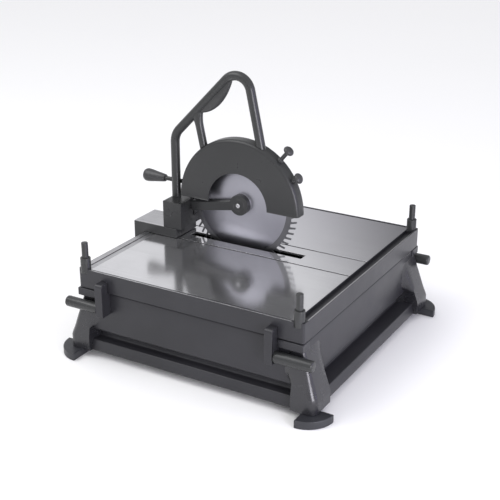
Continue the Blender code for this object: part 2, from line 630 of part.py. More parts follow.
def make_blade(finish):
    """A steel disc with hooked teeth round its rim and a bore for the arbor."""
    outline = []
    for i in range(BLADE_TEETH):
        for along, height in TOOTH_SHAPE:
            angle = 2 * math.pi * (i + along) / BLADE_TEETH
            radius = BLADE_RADIUS - TOOTH_DEPTH * (1 - height)
            outline.append((ARBOR[0] + radius * math.cos(angle), ARBOR[1] + radius * math.sin(angle)))
    blade = prism("blade", outline, 1, *BLADE_Y, finish)
    return cut(blade, rod("guide_blade_bore", BLADE_BORE, -0.1, 0.1, (ARBOR[0], 0, ARBOR[1]),
                          (0, 1, 0), finish))


def make_guard_shell(name, face_y, split_y, window, finish):
    """Half a drum round the blade's upper half: a face, a rounded edge and a rim, open below."""
    inward = 1 if split_y > face_y else -1
    wall = inward * GUARD_WALL
    profile = [(window, face_y)]
    for degrees in range(0, 91, 15):
        angle = math.radians(degrees)
        profile.append((GUARD_RADIUS - GUARD_ROUND * (1 - math.sin(angle)),
                        face_y + inward * GUARD_ROUND * (1 - math.cos(angle))))
    profile.append((GUARD_RADIUS, split_y))
    profile.append((GUARD_RADIUS - GUARD_WALL, split_y))
    for degrees in range(90, -1, -15):
        angle = math.radians(degrees)
        profile.append((GUARD_RADIUS - GUARD_WALL - (GUARD_ROUND - GUARD_WALL) * (1 - math.sin(angle)),
                        face_y + wall + inward * (GUARD_ROUND - GUARD_WALL) * (1 - math.cos(angle))))
    profile.append((window, face_y + wall))
    shell = turned(name, profile, (ARBOR[0], 0, ARBOR[1]), (0, 1, 0), finish, 64)
    cut(shell, box("guide_below_" + name, (-0.4, 0.3), (-0.1, 0.1), (0, ARBOR[1] - 0.0003), finish))
    return shell


def make_guard(finish):
    """Front shell with a round window for the hub, and a rear shell that closes the back."""
    front = make_guard_shell("guard_front_shell", GUARD_Y[0], GUARD_SPLIT - GAP / 2, GUARD_WINDOW, finish)
    run = Vector((ARBOR[0] - PIVOT[0], ARBOR[1] - PIVOT[1])).normalized()
    up = Vector((-run.y, run.x)) * (ARM_HALF_HEIGHT + 0.0012)
    line = [Vector(PIVOT) + up, Vector(ARBOR) + up]
    below = [(line[0].x, line[0].y), (line[1].x, line[1].y), (line[1].x, line[1].y - 0.08),
             (line[0].x, line[0].y - 0.08)]
    cut(front, prism("guide_arm_path", below, 1, -0.05, 0.05, finish))
    rear = make_guard_shell("guard_rear_shell", GUARD_Y[1], GUARD_SPLIT + GAP / 2, GUARD_REAR_WINDOW, finish)
    cut(rear, prism("guide_arm_path_rear", below, 1, -0.05, ARM_Y[1] + GAP, finish))


def make_grip(tube_finish, pad_finish):
    """The lifting grip: one bent tube, a strut to the guard and a leaf-shaped hand grip."""
    path = rounded_path(GRIP_PATH, GRIP_BENDS)
    grip = tube("grip_tube", path, GRIP_Y, GRIP_RADIUS, tube_finish)
    rim = rod("guide_rim", GUARD_RADIUS + GAP, -0.06, 0.06, (ARBOR[0], 0, ARBOR[1]), (0, 1, 0),
              tube_finish, 64)
    cut(grip, rim)
    top, foot = Vector(STRUT_TOP), Vector(STRUT_FOOT)
    strut = tube("grip_strut", [top, foot], GRIP_Y, STRUT_RADIUS, tube_finish)
    clearance = tube("guide_grip", path, GRIP_Y, GRIP_RADIUS + GAP, tube_finish)
    cut(strut, clearance)
    cut(strut, rim)
    begin, end = [Vector(point) for point in HAND_GRIP_ENDS]
    along = end - begin
    away = Vector((along.y, -along.x)).normalized()
    outline = [begin - away * 0.012]
    for i in range(13):
        share = i / 12
        depth = HAND_GRIP_DEPTH * math.sin(math.pi * min(1.0, share ** 0.85)) ** 0.8
        point = begin + along * share + away * depth
        outline.append(point)
    outline.append(end - away * 0.012)
    pad = prism("hand_grip", [(point.x, point.y) for point in outline], 1, GRIP_Y - HAND_GRIP_HALF,
                GRIP_Y + HAND_GRIP_HALF, pad_finish)
    cut(pad, clearance)


# ---- Small moving pieces -----------------------------------------------------------------
def make_knobs(finish):
    """Mushroom-headed clamp knobs that screw into the guard's rim along its radii."""
    for number, (degrees, head_at) in enumerate(zip(KNOB_ANGLES, KNOB_HEAD_AT), start=1):
        angle = math.radians(degrees)
        outward = Vector((math.cos(angle), 0, math.sin(angle)))
        base = Vector((ARBOR[0], KNOB_Y, ARBOR[1])) + outward * (GUARD_RADIUS + 0.0006)
        reach = head_at - GUARD_RADIUS
        head = reach - 0.007
        profile = [(0, 0), (0.0095, 0), (0.0095, 0.004), (0.006, 0.006), (0.006, head - 0.001),
                   (0.0135, head + 0.001), (0.015, head + 0.005), (0.0135, head + 0.010),
                   (0.009, head + 0.0135), (0, head + 0.015)]
        knob = turned(f"guard_knob_{number}", profile, base, outward, finish, 20)
        carried_by(joint_empty(f"knob_axis_{number}", base), knob)


def make_lever(steel, grip_finish):
    """The side lever: a steel rod out of the guard's left rim with a flared hand grip."""
    centre = (0, LEVER_Y, LEVER_Z)
    stem = rod("lever_rod", LEVER_ROD_RADIUS, LEVER_X[0] + 0.015, LEVER_X[1], centre, (1, 0, 0), steel)
    bore = LEVER_ROD_RADIUS + GAP
    end = LEVER_X[0]
    grip = turned("lever_grip", [(0, end), (0.010, end + 0.001), (0.0165, end + 0.005), (0.019, end + 0.012),
                                 (0.0185, end + 0.022), (0.0105, LEVER_GRIP_X), (bore, LEVER_GRIP_X),
                                 (bore, end + 0.0147), (0, end + 0.0147)], centre, (1, 0, 0), grip_finish)
    carried_by(joint_empty("lever_axis", (LEVER_X[1], LEVER_Y, LEVER_Z)), stem, grip)


def main():
    clear_scene()
    cast = material("cast_grey", (0.075, 0.076, 0.082), 0.38, 0.55)
    casing = material("casing_grey", (0.070, 0.071, 0.075), 0.35, 0.5)
    table_steel = material("table_steel", (0.60, 0.60, 0.61), 0.22, 1.0)
    edge = material("edge_steel", (0.45, 0.45, 0.46), 0.35, 1.0)
    blade_steel = material("blade_steel", (0.34, 0.34, 0.36), 0.30, 1.0)
    steel = material("bright_steel", (0.55, 0.55, 0.56), 0.28, 1.0)
    dark_steel = material("dark_steel", (0.085, 0.085, 0.09), 0.35, 0.7)
    rubber = material("foot_rubber", (0.10, 0.10, 0.105), 0.5, 0.0)
    belt_rubber = material("belt_rubber", (0.02, 0.02, 0.02), 0.7, 0.0)
    plastic = material("grip_plastic", (0.06, 0.06, 0.063), 0.42, 0.0)
    pan_steel = material("pan_steel", (0.35, 0.36, 0.37), 0.4, 1.0)
    motor_paint = material("motor_paint", (0.12, 0.13, 0.14), 0.4, 0.4)

    make_base(cast)
    make_feet(rubber)
    make_bars(dark_steel, cast)
    make_table(cast, table_steel, edge)
    make_sockets(dark_steel, dark_steel)
    make_water_pan(pan_steel)
    make_housing(casing)
    make_column(casing)
    make_pivot_brackets(steel)

    motor_axis = joint_empty("motor_axis", (MOTOR_AXIS[0], 0, MOTOR_AXIS[1]))
    make_motor(motor_paint, steel, steel, motor_axis)
    make_belt("belt_lower", MOTOR_AXIS, PIVOT, MOTOR_PULLEY_RADIUS + GAP, BELT_RADIUS, LOWER_BELT_Y,
              belt_rubber)

    pivot = joint_empty("pivot_axis", (PIVOT[0], 0, PIVOT[1]))
    at = (PIVOT[0], 0, PIVOT[1])
    jackshaft = rod("jackshaft", 0.005, HOUSING_Y[0], HOUSING_Y[1], at, (0, 1, 0), steel)
    lower = ring("jack_pulley_lower", 0.0053, BELT_RADIUS - GAP, *LOWER_BELT_Y, at, (0, 1, 0), steel)
    upper = ring("jack_pulley_upper", 0.0053, BELT_RADIUS - GAP, *UPPER_BELT_Y, at, (0, 1, 0), steel)
    carried_by(pivot, jackshaft, lower, upper)
    make_belt("belt_upper", PIVOT, ARBOR, BELT_RADIUS, BELT_RADIUS, UPPER_BELT_Y, belt_rubber)

    make_head_block(casing)
    make_arm(casing)
    hub = (ARBOR[0], 0, ARBOR[1])
    ring("bearing_front", 0.0053, 0.011, HUB_FACE + 0.0021, -0.0065, hub, (0, 1, 0), steel)
    ring("bearing_rear", 0.0053, 0.011, -0.0005, ARM_Y[1] - 0.0002, hub, (0, 1, 0), steel)
    make_spindle(steel, blade_steel, steel, joint_empty("spindle_axis", hub))
    make_guard(casing)
    make_grip(dark_steel, plastic)
    make_knobs(plastic)
    make_lever(dark_steel, plastic)


main()
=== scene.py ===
"""The looks of the masonry saw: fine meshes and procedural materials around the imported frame."""
import json
import math

import bmesh
import bpy
from mathutils import Matrix, Vector


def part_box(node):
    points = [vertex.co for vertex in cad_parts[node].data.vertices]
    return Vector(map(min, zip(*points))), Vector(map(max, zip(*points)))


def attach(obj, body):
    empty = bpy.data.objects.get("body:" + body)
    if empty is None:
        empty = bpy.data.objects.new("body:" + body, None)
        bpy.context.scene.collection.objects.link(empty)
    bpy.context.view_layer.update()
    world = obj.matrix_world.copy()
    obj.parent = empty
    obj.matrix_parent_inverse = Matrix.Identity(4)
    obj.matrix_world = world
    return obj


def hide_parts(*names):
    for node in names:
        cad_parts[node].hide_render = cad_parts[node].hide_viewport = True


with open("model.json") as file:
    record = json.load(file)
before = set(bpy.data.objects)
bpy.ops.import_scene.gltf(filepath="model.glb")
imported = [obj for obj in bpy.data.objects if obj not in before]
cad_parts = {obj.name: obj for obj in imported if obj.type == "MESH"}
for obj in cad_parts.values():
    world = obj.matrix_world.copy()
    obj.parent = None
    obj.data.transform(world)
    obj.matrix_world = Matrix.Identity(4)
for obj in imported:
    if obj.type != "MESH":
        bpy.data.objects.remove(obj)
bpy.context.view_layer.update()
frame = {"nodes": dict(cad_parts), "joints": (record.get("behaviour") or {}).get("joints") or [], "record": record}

# ---- Places, read from the frame ---------------------------------------------------------
NODES = frame["nodes"]
SLOT_OF = {part["node"]: part["material_slot"] for part in frame["record"]["subparts"]}
JOINTS = {joint["name"]: joint for joint in frame["joints"]}
PIVOT = Vector(JOINTS["head_tilt"]["pos_m"])
ARBOR = Vector(JOINTS["blade_spin"]["pos_m"])
FRAME_LOW, FRAME_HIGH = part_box("table_frame")
BASE_LOW, BASE_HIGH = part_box("base_casting")
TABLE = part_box("table_plate_front")[1].z
PLATES_LOW = Vector((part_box("table_edge_strip")[0].x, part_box("table_plate_front")[0].y, TABLE))
PLATES_HIGH = Vector((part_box("table_plate_rear")[1].x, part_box("table_plate_rear")[1].y, TABLE))
CORNERS = {"front_left": (-1, -1), "front_right": (1, -1), "rear_left": (-1, 1), "rear_right": (1, 1)}

# ---- Camera, from the right of the operator's side ----------------------------------------
CAMERA_AT = (1.3609, -2.3824, 1.3908)
CAMERA_AZIMUTH = 30.105
CAMERA_ELEVATION = 22.511
CAMERA_LENS = 75.85


# ---- Mesh helpers ------------------------------------------------------------------------
def show(name, bm, finish, body, *nodes, sharp=35):
    """Turn a bmesh into a piece that rides on a body and stands for CAD nodes."""
    bmesh.ops.remove_doubles(bm, verts=bm.verts, dist=1e-6)
    bmesh.ops.recalc_face_normals(bm, faces=bm.faces)
    mesh = bpy.data.meshes.new(name)
    bm.to_mesh(mesh)
    bm.free()
    mesh.shade_smooth()
    mesh.set_sharp_from_angle(angle=math.radians(sharp))
    made = bpy.data.objects.new(name, mesh)
    bpy.context.scene.collection.objects.link(made)
    mesh.materials.append(finish)
    if body:
        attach(made, body)
    if nodes:
        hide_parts(*nodes)
    return made


def soften(target, width, segments=3, angle=30):
    """Round the edges of a piece."""
    step = target.modifiers.new("soften", 'BEVEL')
    step.width = width
    step.segments = segments
    step.limit_method = 'ANGLE'
    step.angle_limit = math.radians(angle)
    step.harden_normals = True
    step.use_clamp_overlap = True
    return target


def carve(target, tool, operation='DIFFERENCE'):
    """Apply a Boolean at once and delete its tool."""
    step = target.modifiers.new("carve", 'BOOLEAN')
    step.operation = operation
    step.solver = 'EXACT'
    step.object = tool
    bpy.context.view_layer.update()
    graph = bpy.context.evaluated_depsgraph_get()
    mesh = bpy.data.meshes.new_from_object(target.evaluated_get(graph))
    target.modifiers.clear()
    target.data = mesh
    bpy.data.objects.remove(tool, do_unlink=True)
    mesh.set_sharp_from_angle(angle=math.radians(35))
    return target


def block(bm, low, high):
    """Add a box to a bmesh."""
    low, high = Vector(low), Vector(high)
    made = bmesh.ops.create_cube(bm, size=1.0)
    bmesh.ops.scale(bm, vec=high - low, verts=made["verts"])
    bmesh.ops.translate(bm, vec=(low + high) / 2, verts=made["verts"])


def box_piece(name, low, high, finish, body, *nodes):
    bm = bmesh.new()
    block(bm, [min(a, b) for a, b in zip(low, high)], [max(a, b) for a, b in zip(low, high)])
    return show(name, bm, finish, body, *nodes)


def skin(bm, rows, cap_first=True, cap_last=True):
    """Join rows of points with equal counts into a surface."""
    made = [[bm.verts.new(point) for point in row] for row in rows]
    for lower, upper in zip(made, made[1:]):
        for i in range(len(lower)):
            k = (i + 1) % len(lower)
            bm.faces.new((lower[i], lower[k], upper[k], upper[i]))
    if cap_first:
        bm.faces.new(made[0][::-1])
    if cap_last:
        bm.faces.new(made[-1])


def round_rect(hx, hy, radius, z, centre=(0.0, 0.0), steps=6):
    """Points of a rectangle with round corners, at height z."""
    points = []
    for quarter, (sx, sy) in enumerate(((1, 1), (-1, 1), (-1, -1), (1, -1))):
        for i in range(steps + 1):
            angle = math.pi / 2 * (quarter + i / steps)
            points.append((centre[0] + sx * (hx - radius) + radius * math.cos(angle),
                           centre[1] + sy * (hy - radius) + radius * math.sin(angle), z))
    return points


def prism_piece(name, outline, axis, low, high, finish, body, *nodes):
    """Extrude an outline along an axis; its points are the other two coordinates, in order."""
    bm = bmesh.new()

    def placed(height):
        points = []
        for point in outline:
            coordinates = list(point)
            coordinates.insert(axis, height)
            points.append(coordinates)
        return points

    skin(bm, [placed(low), placed(high)])
    return show(name, bm, finish, body, *nodes)


def lathe(bm, profile, centre, direction, segments=48):
    """Spin a profile of (radius, distance); it is closed as a loop unless it starts and ends on the axis."""
    turn = Vector((0, 0, 1)).rotation_difference(Vector(direction)).to_matrix()
    rows = []
    for i in range(segments):
        angle = 2 * math.pi * i / segments
        spoke = Vector((math.cos(angle), math.sin(angle), 0))
        rows.append([Vector(centre) + turn @ (spoke * r + Vector((0, 0, along))) for r, along in profile])
    verts = [[bm.verts.new(point) for point in row] for row in rows]
    on_axis = profile[0][0] < 1e-9 and profile[-1][0] < 1e-9
    steps = len(profile) - 1 if on_axis else len(profile)
    for i in range(segments):
        one, two = verts[i], verts[(i + 1) % segments]
        for k in range(steps):
            n = (k + 1) % len(profile)
            bm.faces.new((one[k], one[n], two[n], two[k]))
    bmesh.ops.remove_doubles(bm, verts=bm.verts, dist=1e-7)


def turned(name, profile, centre, direction, finish, body, *nodes, segments=48):
    bm = bmesh.new()
    lathe(bm, profile, centre, direction, segments)
    return show(name, bm, finish, body, *nodes)


def arc(centre, radius, start, end, steps):
    """Points of an arc in degrees, for profiles."""
    points = []
    for i in range(steps + 1):
        angle = math.radians(start + (end - start) * i / steps)
        points.append((centre[0] + radius * math.cos(angle), centre[1] + radius * math.sin(angle)))
    return points


# ---- Materials ---------------------------------------------------------------------------
RANGE_SOCKETS = ("From Min", "From Max", "To Min", "To Max")


class Graph:
    """A short way to write a node material."""

    def __init__(self, name):
        self.material = bpy.data.materials.new(name)
        self.material.use_nodes = True
        self.tree = self.material.node_tree
        self.shader = self.tree.nodes["Principled BSDF"]
        self.place = self.add("ShaderNodeTexCoord").outputs["Object"]

    def add(self, kind, **inputs):
        node = self.tree.nodes.new(kind)
        for key, value in inputs.items():
            self.set(node.inputs[key.replace("_", " ")], value)
        return node

    def set(self, socket, value):
        if isinstance(value, bpy.types.NodeSocket):
            self.tree.links.new(value, socket)
        else:
            socket.default_value = value

    def stretched(self, scale):
        node = self.add("ShaderNodeMapping", Vector=self.place)
        node.inputs["Scale"].default_value = scale
        return node.outputs["Vector"]

    def noise(self, scale, detail=2.0, vector=None, roughness=0.5):
        node = self.add("ShaderNodeTexNoise", Scale=scale, Detail=detail, Roughness=roughness,
                        Vector=vector or self.place)
        return node.outputs["Fac"]

    def span(self, value, low, high, from_low=0.3, from_high=0.7):
        node = self.add("ShaderNodeMapRange", Value=value)
        for key, number in zip(RANGE_SOCKETS, (from_low, from_high, low, high)):
            node.inputs[key].default_value = number
        return node.outputs["Result"]

    def mix(self, factor, first, second):
        node = self.tree.nodes.new("ShaderNodeMix")
        node.data_type = 'RGBA'
        self.set(node.inputs["Factor"], factor)
        self.set(node.inputs[6], first if isinstance(first, bpy.types.NodeSocket) else (*first, 1.0))
        self.set(node.inputs[7], second if isinstance(second, bpy.types.NodeSocket) else (*second, 1.0))
        return node.outputs[2]

    def sum(self, first, second, operation='ADD'):
        node = self.tree.nodes.new("ShaderNodeMath")
        node.operation = operation
        self.set(node.inputs[0], first)
        self.set(node.inputs[1], second)
        return node.outputs[0]

    def bump(self, height, strength, distance, normal=None):
        node = self.add("ShaderNodeBump", Height=height)
        node.inputs["Strength"].default_value = strength
        node.inputs["Distance"].default_value = distance
        if normal:
            self.tree.links.new(normal, node.inputs["Normal"])
        return node.outputs["Normal"]

    def finish(self, metallic, color, roughness, normal=None, **plain):
        self.shader.inputs["Metallic"].default_value = metallic
        self.set(self.shader.inputs["Base Color"], color)
        self.set(self.shader.inputs["Roughness"], roughness)
        if normal:
            self.set(self.shader.inputs["Normal"], normal)
        for key, value in plain.items():
            self.shader.inputs[key.replace("_", " ")].default_value = value
        return self.material


def coated(name, dark, light, rough_low, rough_high, grain, specular=0.5):
    """Painted or coated metal: slow colour drift, fine speckle and an orange-peel surface."""
    g = Graph(name)
    drift = g.span(g.noise(5.0, 5.0), 0.0, 1.0)
    speckle = g.span(g.noise(700.0, 2.0), 0.0, 0.22, 0.45, 0.75)
    smudge = g.span(g.noise(14.0, 6.0, roughness=0.65), rough_low, rough_high)
    color = g.mix(g.sum(drift, speckle), dark, light)
    peel = g.bump(g.noise(260.0, 2.0), 0.10, 0.0006)
    normal = g.bump(g.noise(1500.0, 1.0), grain, 0.0003, peel)
    return g.finish(0.0, color, smudge, normal, Specular_IOR_Level=specular)


def ground_steel(name, dark, light, rough_low, rough_high, painted_rear_shade=None, metallic=1.0):
    """Ground or brushed steel with long fine scratches and faint stains.

    The colour given last, where given, is painted shade that the steel fades to towards its rear end, standing in
    for the dimmer reflection there.
    """
    g = Graph(name)
    lines = g.noise(1.0, 6.0, g.stretched((2.0, 260.0, 2.0)), 0.7)
    stain = g.noise(7.0, 6.0, roughness=0.6)
    color = g.mix(g.span(g.sum(lines, stain), 0.0, 1.0, 0.75, 1.25), dark, light)
    # Painted shade: darker towards the rear, for the dimmer reflection there.
    if painted_rear_shade:
        apart = g.add("ShaderNodeSeparateXYZ", Vector=g.place)
        color = g.mix(g.span(apart.outputs["Y"], 0.0, 1.0, FRAME_LOW.y * 0.4, FRAME_HIGH.y), color, painted_rear_shade)
    rough = g.span(g.sum(lines, stain), rough_low, rough_high, 0.7, 1.3)
    normal = g.bump(lines, 0.06, 0.0003)
    return g.finish(metallic, color, rough, normal, Anisotropic=0.3)


def turned_steel(name, centre, dark, light, rough_low, rough_high):
    """Steel turned about the Y axis through centre: fine circular marks."""
    g = Graph(name)
    offset = g.add("ShaderNodeVectorMath")
    offset.operation = 'SUBTRACT'
    g.set(offset.inputs[0], g.place)
    offset.inputs[1].default_value = centre
    flat = g.add("ShaderNodeVectorMath")
    flat.operation = 'MULTIPLY'
    g.set(flat.inputs[0], offset.outputs[0])
    flat.inputs[1].default_value = (1, 0, 1)
    length = g.add("ShaderNodeVectorMath")
    length.operation = 'LENGTH'
    g.set(length.inputs[0], flat.outputs[0])
    radius = length.outputs["Value"]
    along = g.add("ShaderNodeCombineXYZ", X=radius)
    marks = g.noise(900.0, 3.0, along.outputs[0], 0.7)
    stain = g.noise(9.0, 5.0, roughness=0.6)
    color = g.mix(g.span(g.sum(marks, stain), 0.0, 1.0, 0.75, 1.25), dark, light)
    rough = g.span(g.sum(marks, stain), rough_low, rough_high, 0.7, 1.3)
    normal = g.bump(marks, 0.08, 0.0002)
    return g.finish(1.0, color, rough, normal)


def moulded(name, dark, light, rough_low, rough_high, texture, height):
    """Moulded rubber or plastic with a fine pebbled texture."""
    g = Graph(name)
    drift = g.span(g.noise(18.0, 4.0), 0.0, 1.0)
    cells = g.add("ShaderNodeTexVoronoi", Scale=texture, Vector=g.place)
    rough = g.span(g.noise(30.0, 5.0), rough_low, rough_high)
    normal = g.bump(cells.outputs["Distance"], 0.35, height)
    return g.finish(0.0, g.mix(drift, dark, light), rough, normal)


CAST = coated("cast_coating", (0.0185, 0.0185, 0.0215), (0.0260, 0.0258, 0.0300), 0.30, 0.38, 0.08, 0.40)
LEG_COAT = coated("leg_coating", (0.0140, 0.0140, 0.0166), (0.0198, 0.0197, 0.0230), 0.25, 0.30, 0.01, 0.66)
CASING = coated("casing_coating", (0.0215, 0.0222, 0.0225), (0.0290, 0.0297, 0.0303), 0.26, 0.35, 0.05, 0.42)
DARK = coated("dark_coating", (0.022, 0.0228, 0.0230), (0.030, 0.0310, 0.0312), 0.24, 0.34, 0.05, 0.45)
# The last colour of the table steel is painted shade towards its rear, for the dimmer reflection there.
TABLE_STEEL = ground_steel("table_steel", (0.66, 0.66, 0.67), (0.74, 0.74, 0.75), 0.10, 0.17,
                           (0.52, 0.515, 0.545), 0.92)
EDGE_STEEL = ground_steel("edge_steel", (0.42, 0.42, 0.43), (0.54, 0.54, 0.55), 0.25, 0.36)
BLADE_STEEL = turned_steel("blade_steel", ARBOR, (0.345, 0.342, 0.382), (0.395, 0.392, 0.437), 0.34, 0.44)
RIM_STEEL = turned_steel("blade_rim_steel", ARBOR, (0.13, 0.13, 0.14), (0.19, 0.19, 0.20), 0.36, 0.48)
BRIGHT = turned_steel("bright_steel", ARBOR, (0.50, 0.50, 0.51), (0.64, 0.64, 0.65), 0.20, 0.32)
PAN_STEEL = ground_steel("pan_steel", (0.16, 0.165, 0.17), (0.22, 0.225, 0.23), 0.35, 0.5)
RUBBER = moulded("foot_rubber", (0.020, 0.021, 0.025), (0.030, 0.031, 0.036), 0.36, 0.48, 900.0, 0.0003)
BELT = moulded("belt_rubber", (0.012, 0.012, 0.012), (0.020, 0.020, 0.020), 0.6, 0.8, 1200.0, 0.0003)
PLASTIC = moulded("grip_plastic", (0.026, 0.0265, 0.027), (0.036, 0.036, 0.037), 0.30, 0.42, 1100.0, 0.0002)
MOTOR_PAINT = coated("motor_paint", (0.06, 0.065, 0.07), (0.09, 0.095, 0.10), 0.35, 0.45, 0.05)
SHAFT_STEEL = turned_steel("shaft_steel", PIVOT, (0.05, 0.05, 0.052), (0.08, 0.08, 0.083), 0.4, 0.5)
SLOT_FINISH = {"cast_grey": CAST, "casing_grey": CASING, "table_steel": TABLE_STEEL, "edge_steel": EDGE_STEEL,
               "blade_steel": BLADE_STEEL, "bright_steel": BRIGHT, "dark_steel": DARK, "foot_rubber": RUBBER,
               "belt_rubber": BELT, "grip_plastic": PLASTIC, "pan_steel": PAN_STEEL,
               "motor_paint": MOTOR_PAINT}


def finish_cad_nodes():
    """Give every carried-over CAD node its slot's finish."""
    for name, node in NODES.items():
        node.data.materials.clear()
        node.data.materials.append(SHAFT_STEEL if name == "jackshaft" else SLOT_FINISH[SLOT_OF[name]])


# ---- Base --------------------------------------------------------------------------------
WALL = (0.338, 0.358)
WALL_BOTTOM = 0.0815
NECK = (0.314, 0.330)
SILL_TOP = 0.0535
SILL_HALF = (0.364, 0.360)
FLANGE_HEIGHT = 0.0225


def inset_row(half, inset, radius, z):
    return round_rect(half[0] - inset, half[1] - inset, radius, z)


def make_base():
    """The tray as one skin: inner wall, rim, outer wall, rounded lower edge, cove, ledge and flared sill."""
    top = BASE_HIGH.z
    bottom = BASE_LOW.z
    sill_low = (0.370, 0.366)
    groove = 0.0060
    rows = [inset_row(NECK, 0.008, 0.012, 0.030), inset_row(NECK, 0.008, 0.012, 0.088),
            inset_row(WALL, 0.008, 0.008, 0.092), inset_row(WALL, 0.008, 0.008, top - 0.001),
            inset_row(WALL, 0.007, 0.009, top), inset_row(WALL, groove, 0.009, top),
            inset_row(WALL, groove, 0.009, top - 0.002)]
    rows += [inset_row(WALL, groove * (1 - math.sin(math.radians(a))), 0.010,
                       top - 0.002 - groove * (1 - math.cos(math.radians(a)))) for a in (30, 60, 90)]
    edge = 0.009
    for a in (0, 15, 30, 45, 60, 75, 90):
        angle = math.radians(a)
        rows.append(inset_row(WALL, edge * (1 - math.cos(angle)), 0.012,
                              WALL_BOTTOM + edge * (1 - math.sin(angle))))
    rows.append(inset_row(NECK, -0.006, 0.012, WALL_BOTTOM))
    rows += [inset_row(NECK, -0.006 * (1 - math.sin(math.radians(a))), 0.012,
                       WALL_BOTTOM - 0.006 * (1 - math.cos(math.radians(a)))) for a in (30, 60, 90)]
    rows += [inset_row(NECK, -0.006 * (1 - math.cos(math.radians(a))), 0.012,
                       SILL_TOP + 0.006 * (1 - math.sin(math.radians(a)))) for a in (0, 30, 60, 90)]
    lip = 0.0028
    rows += [inset_row(SILL_HALF, lip * (1 - math.sin(math.radians(a))), 0.024,
                       SILL_TOP - lip * (1 - math.cos(math.radians(a)))) for a in (0, 22, 45, 68, 90)]
    rows += [inset_row(sill_low, 0.0025 * (1 - math.cos(math.radians(a))), 0.024,
                       bottom + 0.0025 * (1 - math.sin(math.radians(a)))) for a in (0, 30, 60, 90)]
    bm = bmesh.new()
    skin(bm, rows)
    return show("base_tray", bm, CAST, "base", "base_casting", sharp=50)


LEG_KNEE = 0.0575
LEG_TOP = 0.1825
LEG_TOP_CORNER = (0.3378, 0.3578)
LEG_LOW_CORNER = (0.3810, 0.3770)
LEG_BACK = (0.3120, 0.2900)
LEG_INNER = (0.300, 0.276)
LEG_LEVELS = (0.040, 0.050, LEG_KNEE, 0.066, 0.078, 0.0895, 0.0925, 0.096, 0.102, 0.110, 0.120,
              0.135, 0.155, 0.170)


def leg_row(corner, back, inner, sx, sy, z, blend, rounding):
    """One level of a corner leg: flat faces by the corner that run smoothly back into the walls."""
    (ox, oy), (bx, by) = corner, back
    points = [(inner[0], inner[1]), (WALL[0] - 0.001, by - blend)]
    for i in range(5):
        share = i / 4
        ease = share * share * (3 - 2 * share)
        points.append((WALL[0] - 0.001 + (ox - WALL[0] + 0.001) * ease, by - blend + blend * share))
    points.append((ox, by + 0.012))
    points += [(px, py) for px, py in arc((ox - rounding, oy - rounding), rounding, 0, 90, 14)]
    points.append((bx + 0.012, oy))
    for i in range(5):
        share = 1 - i / 4
        ease = share * share * (3 - 2 * share)
        points.append((bx - blend + blend * share, WALL[1] - 0.001 + (oy - WALL[1] + 0.001) * ease))
    points.append((bx - blend, WALL[1] - 0.001))
    return [(sx * px, sy * py, z) for px, py in points]


def make_legs():
    """Four flared corner legs from under the flange down to the sill's underside."""
    top_corner, low_corner = LEG_TOP_CORNER, LEG_LOW_CORNER
    knee, foot, top = LEG_KNEE, BASE_LOW.z, LEG_TOP
    for corner, (sx, sy) in CORNERS.items():
        rows = []
        for z in (foot, foot + 0.0012, *LEG_LEVELS, top):
            share = min(1.0, max(0.0, (top - z) / (top - knee)))
            ease = share if z > knee + 0.015 else 1 - (1 - share) * 0.85
            ox = top_corner[0] + (low_corner[0] - top_corner[0]) * ease
            oy = top_corner[1] + (low_corner[1] - top_corner[1]) * ease
            pull = 0.0012 if z == foot else 0.0
            blend = 0.0005 + 0.030 * min(1.0, max(0.0, (z - 0.0905) / 0.030)) ** 0.6
            rounding = 0.009 + 0.012 * min(1.0, share * 1.3)
            edge = (ox - pull, oy - pull)
            rows.append(leg_row(edge, LEG_BACK, LEG_INNER, sx, sy, z, blend, rounding))
        bm = bmesh.new()
        skin(bm, rows)
        show("leg_" + corner, bm, LEG_COAT, "base", sharp=42)


def make_flanges():
    """The short flange blocks that stand proud at the corners under the groove."""
    top = BASE_HIGH.z
    for corner, (sx, sy) in CORNERS.items():
        reach = 0.3442 if sx < 0 else 0.3418
        made = box_piece("flange_" + corner, (sx * 0.2700, sy * 0.330, top - FLANGE_HEIGHT),
                         (sx * reach, sy * 0.371, top - 0.0006), CAST, "base")
        soften(made, 0.0028, 4)


def make_feet():
    for corner in CORNERS:
        name = "foot_" + corner
        low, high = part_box(name)
        sx, sy = CORNERS[corner]
        centre = (low.x if sx > 0 else high.x, low.y if sy > 0 else high.y)
        radius = high.x - low.x
        outline = [centre] + [(centre[0] + sx * px, centre[1] + sy * py) for px,
                              py in arc((0, 0), radius, 0, 90, 28)]
        made = prism_piece(name + "_pad", outline, 2, low.z, high.z, RUBBER, "base", name)
        soften(made, 0.0022, 3)


